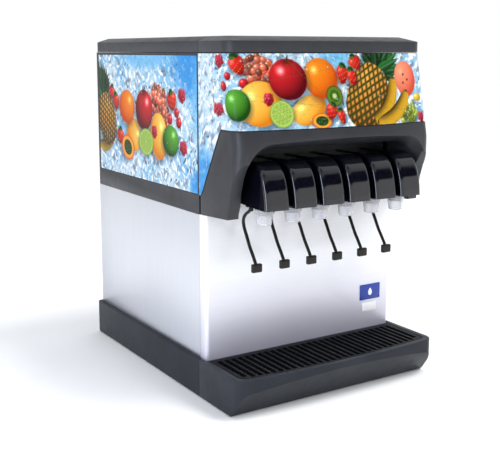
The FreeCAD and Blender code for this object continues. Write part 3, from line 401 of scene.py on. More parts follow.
class Print:
    """Colours of a printed film: s runs along the panel and z up it, both in millimetres."""

    def __init__(self, s, z, seed):
        self.s = s
        self.z = z
        self.draw = np.random.default_rng(seed)
        self.rgb = self.water(seed)

    def water(self, seed):
        """Thrown water: pale blue with white facets, grey folds and small dark glints."""
        s = self.s + 5 * ripples(self.s, self.z, seed + 1, 42)
        z = self.z + 5 * ripples(self.s, self.z, seed + 2, 34)
        broad = ripples(s, z, seed + 3, 120)
        folds = ripples(s, z, seed + 4, 30)
        facets = ripples(s, z, seed + 5, 15) + 0.5 * ripples(s, z, seed + 6, 8)
        glints = ripples(s, z, seed + 7, 10) * ripples(s, z, seed + 8, 19)
        pale = np.array((0.80, 0.89, 0.95))
        blue = np.array((0.49, 0.74, 0.91))
        mix = np.clip(0.62 + 0.6 * broad, 0, 1)[:, None]
        rgb = pale * mix + blue * (1 - mix)
        grey = (0.95 * np.clip(folds * 1.2 - 0.15, 0, 1) * np.clip(0.6 - facets, 0, 1))[:, None]
        rgb = rgb * (1 - grey) + np.array((0.46, 0.52, 0.60)) * grey
        white = np.clip(facets * 2.2 - 0.25, 0, 1)[:, None]
        rgb = rgb * (1 - white) + white
        dark = (0.85 * np.clip(glints * 3.0 - 0.9, 0, 1))[:, None]
        return rgb * (1 - dark) + np.array((0.25, 0.32, 0.40)) * dark

    def open_blue(self, place, size, colour, strength=0.9):
        """Clear blue showing between the splashes, strongest in the middle of an ellipse."""
        u, v = self.local(place, size)
        fade = np.clip(1.15 - np.hypot(u, v), 0, 0.5) * 2
        broken = np.clip(1 - 0.35 * ripples(self.s, self.z, 41, 18), 0, 1)
        self.lay(strength * fade * broken, np.array(colour))

    def lay(self, cover, colour):
        cover = np.clip(cover, 0, 1)[:, None]
        self.rgb = self.rgb * (1 - cover) + colour * cover

    def local(self, place, size, turn=0.0):
        ds = self.s - place[0]
        dz = self.z - place[1]
        cos, sin = math.cos(math.radians(turn)), math.sin(math.radians(turn))
        return (ds * cos + dz * sin) / size[0], (dz * cos - ds * sin) / size[1]

    def shaded(self, u, v, dark, lit, gloss):
        dome = np.sqrt(np.clip(1 - u * u - v * v, 0, 1))
        lamb = np.clip(u * SUN[0] + v * SUN[1] + dome * SUN[2], 0, 1) ** 0.8
        spot = gloss * np.exp(-((u + 0.36) ** 2 + (v - 0.42) ** 2) / 0.035)
        dark, lit = np.array(dark), np.array(lit)
        return np.clip(dark + (lit - dark) * lamb[:, None] + spot[:, None], 0, 1)

    def disc(self, r, size, reach, colour):
        """Fills a round outline out to a share of the size with one colour."""
        self.lay(soft(reach - r, 1.4 / min(size)), np.array(colour))

    def ball(self, place, size, dark, lit, turn=0.0, gloss=0.6):
        size = size if isinstance(size, tuple) else (size, size)
        u, v = self.local(place, size, turn)
        edge = soft(1 - np.hypot(u, v), 1.4 / min(size))
        self.lay(edge, self.shaded(u, v, dark, lit, gloss))
        return u, v, edge

    def drop_shadow(self, place, size):
        u, v = self.local((place[0] + size[0] * 0.10, place[1] - size[1] * 0.16), size)
        self.lay(0.42 * np.clip(1.25 - np.hypot(u, v), 0, 0.35) / 0.35, np.array((0.16, 0.20, 0.25)))

    def apple(self, place, size):
        self.drop_shadow(place, size)
        u, v, edge = self.ball(place, size, (0.34, 0.01, 0.05), (0.80, 0.13, 0.15), gloss=0.65)
        streak = np.clip(np.sin(np.arctan2(u, v + 1.2) * 34) * 0.5 + 0.1, 0, 1) * np.clip(v, 0, 1)
        self.lay(edge * streak * 0.22, np.array((0.90, 0.40, 0.25)))
        self.lay(0.6 * np.exp(-(u * u * 9 + (v - 0.86) ** 2 * 30)) * edge, np.array((0.25, 0.05, 0.03)))
        self.blade((place[0], place[1] + size[1] * 0.8), 72, size[1] * 0.42, 2.2, (0.30, 0.18, 0.08))

    def peel(self, place, size, dark, lit, gloss, pores, pore_size, seed):
        """Round fruit with a pored skin."""
        self.drop_shadow(place, size)
        edge = self.ball(place, size, dark, lit, gloss=gloss)[2]
        spots = np.clip(ripples(self.s, self.z, seed, pore_size, 7), 0, 1)
        self.lay(edge * spots * pores[3], np.array(pores[:3]))

    def orange(self, place, size):
        dark, lit = (0.98 * 0.80, 0.54 * 0.50, 0.01), (0.98, 0.54, 0.10)
        self.peel(place, size, dark, lit, 0.4, (0.85, 0.42, 0.04, 0.22), 4.2, 77)

    def lime(self, place, size):
        dark, lit = (0.08, 0.27, 0.04), (0.36, 0.66, 0.20)
        self.peel(place, size, dark, lit, 0.4, (0.20, 0.42, 0.06, 0.25), 3.6, 78)

    def mango(self, place, size, turn):
        self.drop_shadow(place, size)
        u, v, edge = self.ball(place, size, (0.86, 0.50, 0.08), (1.0, 0.80, 0.34), turn, gloss=0.3)
        blush = np.exp(-((u - 0.5) ** 2 + (v - 0.4) ** 2) / 0.22)
        self.lay(edge * blush * 0.30, np.array((0.95, 0.50, 0.14)))

    def lime_slice(self, place, size):
        """A cut lime: rind, pale ring and ten wedges of flesh."""
        wedges = 10
        core = 0.08
        self.drop_shadow(place, size)
        u, v = self.local(place, size)
        r = np.hypot(u, v)
        self.disc(r, size, 1, (0.50, 0.68, 0.20))
        self.disc(r, size, 0.93, (0.72, 0.83, 0.42))
        around = np.arctan2(v, u) / math.tau * wedges % 1.0
        wall = np.abs(around - 0.5) * 2
        inside = soft(0.84 - r, 1.4 / min(size)) * soft(r - core, 0.05) * soft(0.93 - wall, 0.08)
        pulp = np.array((0.64, 0.78, 0.32)) * (0.88 + 0.18 * ripples(self.s, self.z, 31, 5, 6))[:, None]
        self.lay(inside * 0.75, np.clip(pulp, 0, 1))

    def kiwi(self, place, size):
        self.drop_shadow(place, size)
        u, v = self.local(place, size)
        r = np.hypot(u, v)
        self.disc(r, size, 1, (0.36, 0.28, 0.14))
        self.disc(r, size, 0.90, (0.30, 0.46, 0.10))
        rays = 0.5 + 0.5 * np.sin(np.arctan2(v, u) * 22)
        self.lay(soft(0.86 - r, 1.4 / min(size)) * rays * 0.45, np.array((0.50, 0.66, 0.22)))
        seeds = np.exp(-((r - 0.46) / 0.12) ** 2) * soft(rays - 0.6, 0.3)
        self.lay(seeds, np.array((0.04, 0.05, 0.02)))
        self.lay(soft(0.24 - r, 0.1), np.array((0.78, 0.84, 0.60)))

    def papaya(self, place, size, turn=0.0):
        """Cut half: orange flesh round a dark green hollow full of seeds."""
        self.drop_shadow(place, size)
        u, v = self.local(place, size, turn)
        r = np.hypot(u, v)
        self.disc(r, size, 1, (0.92, 0.38, 0.10))
        self.disc(r, size, 0.88, (1.0, 0.66, 0.22))
        self.disc(r, size, 0.62, (0.09, 0.22, 0.09))
        seeds = np.clip(ripples(self.s, self.z, 55, 5, 6) * 2, 0, 1)
        self.lay(soft(0.5 - r, 0.1) * seeds * 0.7, np.array((0.35, 0.50, 0.22)))

    def strawberry(self, place, size, turn):
        self.drop_shadow(place, size)
        u, v = self.local(place, size, turn)
        width = np.sqrt(np.clip(1 - v * v, 0, 1)) * (0.80 + 0.24 * v)
        edge = soft(width - np.abs(u), 1.4 / min(size)) * soft(1 - np.abs(v), 0.06)
        self.lay(edge, self.shaded(u * 0.95, v * 0.9, (0.50, 0.01, 0.03), (0.90, 0.15, 0.12), 0.35))
        column = np.floor(u * 13 / math.pi) * 1.6
        seeds = np.clip(np.sin(u * 13) * np.sin(v * 11 + column) - 0.72, 0, 1) * 3
        self.lay(edge * np.clip(seeds, 0, 1), np.array((0.98, 0.80, 0.35)))
        cos, sin = math.cos(math.radians(turn)), math.sin(math.radians(turn))
        top = (place[0] - sin * size[1] * 0.82, place[1] + cos * size[1] * 0.82)
        for lean in (-70, -38, 0, 38, 70):
            self.blade(top, 90 + turn + lean, size[1] * 0.55, size[0] * 0.28, (0.16, 0.40, 0.12))

    def cluster(self, place, size, grain, dark, lit, count, seed, jitter=0.15):
        """Many small round fruits packed inside an ellipse."""
        self.drop_shadow(place, size)
        draw = np.random.default_rng(seed)
        golden = math.pi * (3 - math.sqrt(5))
        for i in reversed(range(count)):
            reach = math.sqrt((i + 0.4) / count)
            turn = i * golden
            spot = (place[0] + size[0] * reach * math.cos(turn) + draw.uniform(-1, 1) * grain * jitter,
                    place[1] + size[1] * reach * math.sin(turn) + draw.uniform(-1, 1) * grain * jitter)
            tint = draw.uniform(1 - jitter, 1.0 + jitter * 0.3)
            self.ball(spot, grain, tuple(c * tint for c in dark), tuple(min(1, c * tint) for c in lit))

    def raspberry(self, place, radius, seed=3, stretch=1.0):
        self.cluster(place, (radius * 0.72 * stretch, radius * 0.8), radius * 0.30,
                     (0.42, 0.0, 0.08), (0.86, 0.16, 0.26), 17, seed)

    def blade(self, root, turn, length, width, colour):
        """Pointed leaf from its root."""
        cos, sin = math.cos(math.radians(turn)), math.sin(math.radians(turn))
        along = ((self.s - root[0]) * cos + (self.z - root[1]) * sin) / length
        across = ((self.z - root[1]) * cos - (self.s - root[0]) * sin) / width
        body = np.sin(np.clip(along, 0, 1) ** 0.7 * math.pi) * soft(along, 0.05) * soft(1 - along, 0.05)
        cover = soft(body - np.abs(across), 1.0 / width)
        tone = (0.8 + 0.35 * np.clip(across, -1, 1))[:, None] * np.array(colour)
        self.lay(cover, np.clip(tone + 0.18 * np.exp(-across ** 2 / 0.02)[:, None], 0, 1))

    def pineapple(self, place, size, turn, leaves=1.0):
        """Lattice of orange eyes between olive grooves, under a crown of pointed leaves."""
        cos, sin = math.cos(math.radians(turn)), math.sin(math.radians(turn))
        crown = (place[0] - sin * size[1] * 0.85, place[1] + cos * size[1] * 0.85)
        for i in range(19):
            lean = (i * 7 % 19 - 9) * 9.0
            reach = leaves * size[1] * (1.35 - abs(lean) * 0.008)
            green = 0.78 + 0.30 * math.sin(i * 2.3)
            self.blade(crown, 90 + turn + lean, reach, size[0] * 0.20,
                       (0.13 * green, 0.38 * green, 0.16 * green))
        self.drop_shadow(place, size)
        u, v = self.local(place, size, turn)
        r = (np.abs(u) ** 2.4 + np.abs(v) ** 2.4) ** (1 / 2.4)
        edge = soft(1 - r, 1.4 / min(size))
        self.lay(edge, self.shaded(u * 0.9, v * 0.9, (0.46, 0.24, 0.05), (0.93, 0.62, 0.22), 0.1))
        first = (u * 3.3 + v * 3.1) * (1 + 0.12 * u * u)
        second = (v * 3.1 - u * 3.3) * (1 + 0.12 * u * u)
        from_middle = np.maximum(np.abs(first % 1 - 0.5), np.abs(second % 1 - 0.5)) * 2
        self.lay(edge * soft(from_middle - 0.64, 0.34) * 0.92, np.array((0.20, 0.22, 0.06)))
        self.lay(edge * soft(0.24 - from_middle, 0.2) * 0.75, np.array((1.0, 0.72, 0.42)))

    def banana(self, centre, radius, start, end, width):
        """Curved fruit: an arc about a centre, tapering to brown tips."""
        ds, dz = self.s - centre[0], self.z - centre[1]
        angle = np.degrees(np.arctan2(dz, ds))
        middle = (start + end) / 2
        along = ((angle - middle + 180) % 360 - 180) / ((end - start) / 2)
        across = (np.hypot(ds, dz) - radius) / width
        girth = np.sqrt(np.clip(1 - np.abs(along) ** 3.2, 0, 1))
        edge = soft(girth - np.abs(across), 1.3 / width) * (np.abs(along) < 1)
        lift = np.clip(0.75 + 0.3 * across - 0.35 * across ** 2, 0, 1)[:, None]
        self.lay(edge, np.array((1.0, 0.77, 0.16)) * lift + np.array((0.04, 0.02, 0.0)))
        self.lay(edge * soft(np.abs(along) - 0.93, 0.06), np.array((0.30, 0.22, 0.06)))
        ridge = np.exp(-((across - 0.25) / 0.12) ** 2) * 0.35
        self.lay(edge * ridge, np.array((0.80, 0.58, 0.06)))

    def splash_drops(self, count, low, high):
        """Scattered clear drops, each a bright ring with a highlight."""
        for _ in range(count):
            spot = (self.draw.uniform(low[0], high[0]), self.draw.uniform(low[1], high[1]))
            radius = self.draw.uniform(1.6, 4.6)
            near = (np.abs(self.s - spot[0]) < radius * 1.5) & (np.abs(self.z - spot[1]) < radius * 1.5)
            if not near.any():
                continue
            u = (self.s[near] - spot[0]) / radius
            v = (self.z[near] - spot[1]) / radius
            r = np.hypot(u, v)
            ring = soft(1 - r, 0.3) * np.clip(r, 0, 1) ** 3 * 0.55
            shine = np.exp(-((u + 0.3) ** 2 + (v - 0.35) ** 2) / 0.08) * 0.95
            core = self.rgb[near]
            core = core * (1 - ring[:, None]) + np.array((0.30, 0.45, 0.55)) * ring[:, None]
            self.rgb[near] = core * (1 - shine[:, None]) + shine[:, None]

    def store(self, mesh):
        """Writes the colours onto the mesh, one for each of its points."""
        rgb = np.clip(self.rgb, 0, 1)
        linear = np.where(rgb <= 0.04045, rgb / 12.92, ((rgb + 0.055) / 1.055) ** 2.4)
        linear = linear * INK_DENSITY
        ink = mesh.attributes.new("ink", "FLOAT_COLOR", "POINT")
        values = np.ones((len(mesh.vertices), 4), dtype=np.float32)
        values[:, :3] = linear
        ink.data.foreach_set("color", values.ravel())


# Shaded and lit colour of a fruit, and the two blues of the open background.
GRAPE = ((0.72, 0.22, 0.16), (0.96, 0.56, 0.42))
GREEN_GRAPE = ((0.42, 0.54, 0.10), (0.84, 0.88, 0.42))
RED_BERRY = ((0.45, 0.0, 0.05), (0.88, 0.16, 0.18))
SKY = (0.17, 0.56, 0.87)
PALE_SKY = (0.45, 0.74, 0.93)


def paint_front(film):
    film.open_blue((-335, 430), (50, 60), SKY, 0.8)
    film.open_blue((-5, 658), (45, 22), PALE_SKY)
    film.open_blue((-150, 520), (60, 18), PALE_SKY, 0.5)
    film.splash_drops(110, (-340, 400), (-205, 664))
    film.splash_drops(70, (-200, 530), (340, 664))
    film.cluster((-173, 634), (34, 25), 6.6, *GRAPE, 44, 5, 0.6)
    film.strawberry((-215, 643), (17, 18), 20)
    film.raspberry((-256, 651), 13, stretch=1.6)
    film.raspberry((-272, 565), 13, stretch=1.7)
    for spot in ((-235, 624, 7), (-248, 606, 9), (-206, 611, 9)):
        film.ball(spot[:2], spot[2], *RED_BERRY)
    film.pineapple((62, 582), (46, 67), -34)
    film.ball((170, 614), (29, 34), (0.86, 0.30, 0.22), (0.98, 0.60, 0.46), gloss=0.1)
    for spot in ((166, 622), (176, 612), (163, 606)):
        film.ball(spot, 2.2, (0.20, 0.05, 0.04), (0.45, 0.12, 0.10), gloss=0)
    film.cluster((166, 547), (30, 18), 6.5, *GREEN_GRAPE, 26, 8, 0.5)
    film.banana((40, 626), 95, 288, 355, 14)
    film.banana((78, 633), 100, 269, 336, 14)
    film.mango((-177, 575), (44, 40), 12)
    film.lime((-222, 573), (26, 28))
    film.raspberry((-160, 583), 12)
    film.mango((-78, 562), (39, 25), 24)
    film.orange((-43, 618), (38, 37))
    film.apple((-115, 617), (40, 37))
    film.lime_slice((-136, 556), (24, 24))
    film.strawberry((8, 624), (16, 18), -12)
    film.strawberry((44, 646), (18, 14), 25)
    film.strawberry((31, 618), (13, 17), 8)
    film.kiwi((-18, 585), (19, 19))
    film.papaya((-54, 541), (22, 14))
    film.strawberry((-30, 557), (15, 15), -24)
    film.strawberry((-8, 547), (10, 14), 10)
    film.raspberry((204, 538), 11)
    film.ball((198, 577), (11, 8), (0.72, 0.52, 0.05), (0.96, 0.86, 0.36))
    film.lime_slice((262, 600), (24, 24))
    film.orange((292, 552), (26, 25))
    film.splash_drops(60, (-340, 400), (340, 664))


def paint_side(film):
    film.open_blue((10, 650), (135, 90), SKY)
    film.open_blue((15, 560), (40, 90), PALE_SKY, 0.7)
    film.open_blue((15, 410), (45, 40), SKY)
    film.open_blue((250, 662), (130, 34), PALE_SKY)
    film.splash_drops(240, (25, 398), (495, 664))
    film.banana((470, 520), 66, 210, 292, 14)
    film.pineapple((447, 516), (46, 60), -24, 1.2)
    film.cluster((188, 566), (36, 32), 7.0, *GRAPE, 46, 15, 0.6)
    film.cluster((158, 535), (16, 20), 6.0, *GRAPE, 16, 16, 0.6)
    film.strawberry((419, 577), (19, 15), 12)
    film.strawberry((396, 557), (20, 18), -10)
    film.strawberry((377, 483), (20, 17), 5)
    film.mango((306, 491), (38, 33), 40)
    film.orange((340, 549), (38, 36))
    film.mango((189, 496), (38, 48), -6)
    film.papaya((338, 461), (32, 26), 20)
    film.apple((256, 546), (40, 42))
    film.lime_slice((248, 480), (33, 28))
    film.raspberry((208, 504), 14, 6)
    film.lime((137, 491), (34, 31))
    film.strawberry((130, 570), (23, 19), -16)
    film.raspberry((88, 583), 15, stretch=1.25)
    film.raspberry((83, 481), 15, 9, 1.25)
    for spot in ((111, 548, 10), (102, 529, 11), (139, 534, 11)):
        film.ball(spot[:2], spot[2], *RED_BERRY)
    film.splash_drops(60, (25, 398), (495, 664))


FILM_MATERIAL = printed_film("fruit_print")
FILM_LIFT = 0.6     # of the film off its panel
STEP = 1.6          # between the points of a side film


def side_film(side):
    """Printed film on one side panel."""
    node = "graphic_panel_left" if side < 0 else "graphic_panel_right"
    low, high = box_mm(node)
    inset = 1.0
    columns = np.linspace(low[1] + inset, high[1] - inset, int((high[1] - low[1]) / STEP))
    rows = np.linspace(low[2] + inset, high[2] - inset, int((high[2] - low[2]) / STEP))
    x = side * (max(abs(low[0]), abs(high[0])) + FILM_LIFT)
    along, up = np.meshgrid(columns, rows)
    points = np.stack([np.full_like(along, x), along, up], axis=-1)
    if side > 0:
        points = points[:, ::-1]
    mesh = grid_mesh(node + "_film", points[:, ::-1])
    flat = points[:, ::-1].reshape(-1, 3)
    film = Print(flat[:, 1] - splash_y, flat[:, 2], seed=11)
    paint_side(film)
    film.store(mesh)
    mesh.shade_smooth()
    new_piece(node + "_film", mesh, HOUSING, "graphic_print", FILM_MATERIAL)


# Lower edge of the front panel's sides: distance behind the splash plane, and height.
SLANT = ((15.0, 397.5), (-54.0, 521.5), (-60.0, 527.5))


def panel_floor(y):
    """Height of the front panel's lower edge at a distance behind the splash plane."""
    ys = [point[0] for point in reversed(SLANT)]
    zs = [point[1] for point in reversed(SLANT)]
    return float(np.interp(y, ys, zs))


def front_film():
    """Printed film round the bowed front panel and both its corners."""
    side_steps, corner_steps, front_steps, rows_count = 60, 26, 130, 120
    edge = 1.2
    middle = 600.0
    seam = seam_y - splash_y
    stations = [("side", i / side_steps) for i in range(side_steps)]
    stations += [("corner", i / corner_steps) for i in range(corner_steps)]
    stations += [("front", i / front_steps) for i in range(front_steps + 1)]
    left, lengths = [], []
    for part, share in stations:
        def station(z):
            reach, bow = panel_shape(z)
            return bowed_station(part, share, reach + FILM_LIFT, bow, CORNER + FILM_LIFT,
                                 body_half + FILM_LIFT, seam - edge)
        # The slanted lower edge and the outline there depend on each other.
        floor = panel_floor(station(middle)[1])
        for _ in range(6):
            floor = panel_floor(station(floor)[1])
        column = []
        for z in np.linspace(floor + edge, panel_top - edge, rows_count):
            x, y = station(z)
            column.append((-x, y, z))
        left.append(column)
        lengths.append(station(middle))
    left = np.array(left)
    right = left[::-1][1:].copy()
    right[:, :, 0] *= -1
    columns = np.concatenate([left, right])
    flat = np.array(lengths)
    walked = np.concatenate([[0], np.cumsum(np.hypot(*np.diff(flat, axis=0).T))])
    along = np.concatenate([walked - walked[-1], (walked[-1] - walked)[::-1][1:]])
    columns[:, :, 1] += splash_y
    mesh = grid_mesh("front_film", columns.transpose(1, 0, 2))
    heights = columns.transpose(1, 0, 2).reshape(-1, 3)[:, 2]
    film = Print(np.tile(along, rows_count), heights, seed=4)
    paint_front(film)
    film.store(mesh)
    mesh.shade_smooth()
    new_piece("front_graphic_film", mesh, HOUSING, "graphic_print", FILM_MATERIAL)


# ---------------------------------------------------------------- valves, nozzles and levers

def catmull(points, per_span):
    """Smooth curve through the points."""
    points = np.asarray(points, float)
    ends = np.vstack([2 * points[0] - points[1], points, 2 * points[-1] - points[-2]])
    curve = []
    for i in range(len(points) - 1):
        a, b, c, d = ends[i:i + 4]
        for t in np.arange(per_span) / per_span:
            curve.append(0.5 * (2 * b + (c - a) * t + (2 * a - 5 * b + 4 * c - d) * t ** 2
                                + (3 * b - a - 3 * c + d) * t ** 3))
    curve.append(points[-1])
    return np.array(curve)


def valve_x(number):
    low, high = box_mm(f"valve_body_{number}")
    return (low[0] + high[0]) / 2


# Profiles in side view: distance behind the splash plane, and height.
NOSE = [(-141.5, 385.3), (-141.1, 392), (-140.1, 402), (-138.3, 412), (-135.1, 425), (-129.8, 440),
        (-123.4, 452), (-115.5, 460.4), (-105.5, 466.4), (-93, 469.5), (-78, 470), (-9.2, 470)]
ROD_ROUTE = [(-50, 380), (-44, 371), (-31, 362.5), (-23, 352), (-24.5, 338), (-34.5, 320), (-45, 302),
             (-56, 287), (-65.5, 273), (-68, 267)]
PIVOT = (-50, 385)
COVER_EDGE = 7.0    # radius of the shell's rounded sides
COVER_GAP = 0.1     # kept inside the cover of the CAD
COVER_WALL = 2.2


def valve_cover(number):
    """Glossy shell over one valve: a smooth nose with well-rounded sides, open below."""
    centre = valve_x(number)
    low, high = box_mm(f"valve_cover_{number}")
    half = (high[0] - low[0]) / 2 - COVER_GAP
    nose = catmull(NOSE, 7)
    tangent = np.gradient(nose, axis=0)
    tangent /= np.linalg.norm(tangent, axis=1)[:, None]
    outward = np.stack([-tangent[:, 1], tangent[:, 0]], axis=1)
    # Where the flat sides end below, for each point along the nose.
    shares = np.linspace(0, 1, len(nose))
    skirt = np.stack([np.interp(shares, [0, 0.3, 0.7, 1], [-134, -116, -80, -9.4]),
                      np.interp(shares, [0, 0.45, 1], [385.3, 386, 390])], axis=1)
    turns = np.radians(np.linspace(0, 90, 8))
    flat = half - COVER_EDGE
    across = [(-(flat + COVER_EDGE * math.cos(t)), COVER_EDGE * (1 - math.sin(t))) for t in turns]
    across += [(x, 0.0) for x in np.linspace(-flat, flat, 9)[1:-1]]
    across += [(-x, depth) for x, depth in reversed(across[:8])]
    side_shares = (0, 0.34, 0.67)
    rows = []
    for point, normal, foot in zip(nose, outward, skirt):
        rim = point - normal * COVER_EDGE
        side = [foot + (rim - foot) * share for share in side_shares]
        row = [(centre - half, *spot) for spot in side]
        row += [(centre + x, *(point - normal * depth)) for x, depth in across]
        row += [(centre + half, *spot) for spot in reversed(side)]
        rows.append(row)
    points = np.array(rows)
    points[:, :, 1] += splash_y
    points[:, :, 2] = np.maximum(points[:, :, 2], low[2] + COVER_GAP)
    mesh = grid_mesh(f"valve_shell_{number}", points)
    piece = new_piece(f"valve_shell_{number}", mesh, HOUSING, "gloss_black",
                      replaced=(f"valve_cover_{number}",))
    wall = piece.modifiers.new("wall", "SOLIDIFY")
    wall.thickness = COVER_WALL * MM
    wall.offset = -1
    smooth(apply_modifiers(piece), 50)


def turned(name, profile, centre, flutes):
    """Closed ring profile (radius, z) turned about the vertical through the centre.

    The flutes stand out by a depth between two heights, beyond an inner radius."""
    segments, flute_count = 64, 16
    flute_low, flute_high, inner, depth = flutes
    rows = []
    for i in range(segments):
        turn = math.tau * i / segments
        row = []
        for radius, z in profile:
            if flute_low < z < flute_high and radius > inner:
                radius += depth * (0.5 + 0.5 * math.cos(turn * flute_count))
            row.append((centre[0] + radius * math.cos(turn), centre[1] + radius * math.sin(turn), z))
        rows.append(row)
    return grid_mesh(name, rows, closed_rows=True, closed_columns=True)


def nozzle(number):
    """Clear spout: fluted collar, shoulder and a taper down to a rounded lip."""
    low, high = box_mm(f"nozzle_{number}")
    centre = ((low[0] + high[0]) / 2, (low[1] + high[1]) / 2)
    top, tip = high[2], low[2]
    step = top - 11
    profile = [(13.4, top - 0.2), (16.4, top), (17.2, top - 0.8), (17.3, top - 2.5), (17.3, top - 8),
               (17.1, step + 1), (16.2, step), (15.6, step - 2), (14.9, step - 8), (13.9, tip + 2),
               (13.3, tip + 0.3), (12.4, tip), (11.4, tip + 0.4), (12.2, tip + 6), (12.8, step - 6),
               (13.3, step - 1)]
    mesh = turned(f"nozzle_spout_{number}", profile, centre, (step + 1, top - 1, 17.0, 0.6))
    smooth(mesh, 60)
    new_piece(f"nozzle_spout_{number}", mesh, f"nozzle_{number}", "clear_nozzle",
              replaced=(f"nozzle_{number}",))


def rounded_block(shape, low, high, edge, segments=4):
    """Adds a box with rounded edges to a bmesh, in millimetres."""
    made = bmesh.ops.create_cube(shape, size=1.0)
    size = (np.array(high) - np.array(low)) * MM
    middle = (np.array(high) + np.array(low)) / 2 * MM
    bmesh.ops.scale(shape, vec=size, verts=made["verts"])
    bmesh.ops.translate(shape, vec=middle, verts=made["verts"])
    edges = list({e for v in made["verts"] for e in v.link_edges})
    bmesh.ops.bevel(shape, geom=edges, offset=edge * MM, segments=segments, profile=0.5, affect="EDGES")


def lever(number):
    """Bent round rod with a pivot barrel at the top and a soft-edged paddle at the bottom."""
    centre = valve_x(number)
    half_width, half_depth, sides = 3.3, 3.0, 16
    route = catmull(ROD_ROUTE, 6)
    tangent = np.gradient(route, axis=0)
    tangent /= np.linalg.norm(tangent, axis=1)[:, None]
    rows = []
    for (y, z), (ty, tz) in zip(route, tangent):
        ring = []
        for i in range(sides):
            turn = math.tau * i / sides
            out = half_depth * math.sin(turn)
            ring.append((centre + half_width * math.cos(turn), y + splash_y - tz * out, z + ty * out))
        rows.append(ring)
    mesh = grid_mesh(f"lever_arm_{number}", rows, closed_columns=True)
    shape = bmesh.new()
    shape.from_mesh(mesh)
    bmesh.ops.holes_fill(shape, edges=shape.edges, sides=0)
    paddle_y, pivot_y = splash_y + ROD_ROUTE[-1][0] - 1, splash_y + PIVOT[0]
    rounded_block(shape, (centre - 10.8, paddle_y - 4.4, 257.2),
                  (centre + 10.8, paddle_y + 4.4, 273.8), 2.6)
    rounded_block(shape, (centre - 3.8, pivot_y - 3.4, 371),
                  (centre + 3.8, pivot_y + 3.4, 384), 1.6)
    barrel_radius, barrel_length = 4.5 * MM, 12 * MM
    barrel = bmesh.ops.create_cone(shape, cap_ends=True, segments=32, radius1=barrel_radius,
                                   radius2=barrel_radius, depth=barrel_length)
    bmesh.ops.rotate(shape, verts=barrel["verts"], cent=(0, 0, 0),
                     matrix=Matrix.Rotation(math.pi / 2, 3, "Y"))
    bmesh.ops.translate(shape, verts=barrel["verts"],
                        vec=(centre * MM, pivot_y * MM, PIVOT[1] * MM))
    shape.to_mesh(mesh)
    shape.free()
    smooth(mesh, 45)
    new_piece(f"lever_arm_{number}", mesh, f"lever_{number}", "lever_plastic",
              replaced=(f"valve_lever_{number}",))


# ---------------------------------------------------------------- badge

def badge():
    """Blue plate with a plain drop on it, and a blank pale label below."""
    low, high = box_mm("badge")
    plate_height, label_height = 33.5, 18
    plate_low, label_high = high[2] - plate_height, low[2] + label_height
    front = low[1]
    middle_x = (low[0] + high[0]) / 2
    middle_z = (plate_low + high[2]) / 2 - 1.5

    shape = bmesh.new()
    rounded_block(shape, (low[0] + 0.1, front, plate_low), (high[0] - 0.1, front + 1.5, high[2]),
                  0.6, 3)
    mesh = finished_mesh("badge_plate", shape)
    smooth(mesh)
    new_piece("badge_plate", mesh, HOUSING, "badge_blue", replaced=("badge",))

    corners, half_width, half_height, upper_stretch, taper = 40, 5.2, 6.4, 1.55, 0.42
    proud, thickness = 0.05, 0.3
    outline = []
    for i in range(corners):
        turn = math.tau * i / corners
        upper = max(0, math.cos(turn))
        stretch = upper_stretch if math.cos(turn) > 0 else 1.0
        outline.append((half_width * math.sin(turn) * (1 - taper * upper ** 1.5),
                        half_height * math.cos(turn) * stretch))
    shape = bmesh.new()
    verts = [shape.verts.new(((middle_x + x) * MM, (front - proud) * MM, (middle_z + z) * MM))
             for x, z in outline]
    lifted = bmesh.ops.extrude_face_region(shape, geom=[shape.faces.new(verts)])
    moved = [v for v in lifted["geom"] if isinstance(v, bmesh.types.BMVert)]
    bmesh.ops.translate(shape, verts=moved, vec=(0, thickness * MM, 0))
    bmesh.ops.recalc_face_normals(shape, faces=shape.faces)
    pale = moulded_plastic("pale_enamel", (0.80, 0.86, 0.93), 0.3, worn=0.0, grain=0.05)
    new_piece("badge_drop", finished_mesh("badge_drop", shape), HOUSING, "badge_blue", pale)

    shape = bmesh.new()
    rounded_block(shape, (middle_x - 20, splash_y - 0.7, low[2]),
                  (middle_x + 18, splash_y + 0.1, label_high), 0.3, 2)
    mesh = finished_mesh("badge_label", shape)
    smooth(mesh)
    white = moulded_plastic("label_white", (0.86, 0.88, 0.92), 0.4, worn=0.0, grain=0.05)
    new_piece("badge_label", mesh, HOUSING, "badge_blue", white)


# ---------------------------------------------------------------- the object

for node_name, edge_width in (("base_pan", 1.6), ("drip_tray", 1.0), ("cup_rest", 0.8),
                              ("valve_bezel", 3.5), ("front_hood", 3.5), ("top_cover", 3.0),
                              ("upper_frame", 0.8), ("rubber_feet", 1.5)):
    edged_copy(node_name, edge_width)
for node_name in ("splash_panel", "side_panel_left", "side_panel_right", "rear_panel"):
    edged_copy(node_name, 0.3, 2)
for sign in (-1, 1):
    side_film(sign)
front_film()
for valve in VALVES:
    valve_cover(valve)
    nozzle(valve)
    lever(valve)
badge()


# ---------------------------------------------------------------- stage, light and camera

def area_light(name, place, target, size, power, colour=(1, 1, 1)):
    data = bpy.data.lights.new(name, "AREA")
    data.shape = "RECTANGLE"
    data.size, data.size_y = size
    data.energy = power
    data.color = colour
    lamp = bpy.data.objects.new(name, data)
    lamp.location = place
    lamp.rotation_euler = (Vector(target) - Vector(place)).to_track_quat("-Z", "Y").to_euler()
    bpy.context.collection.objects.link(lamp)
    return lamp


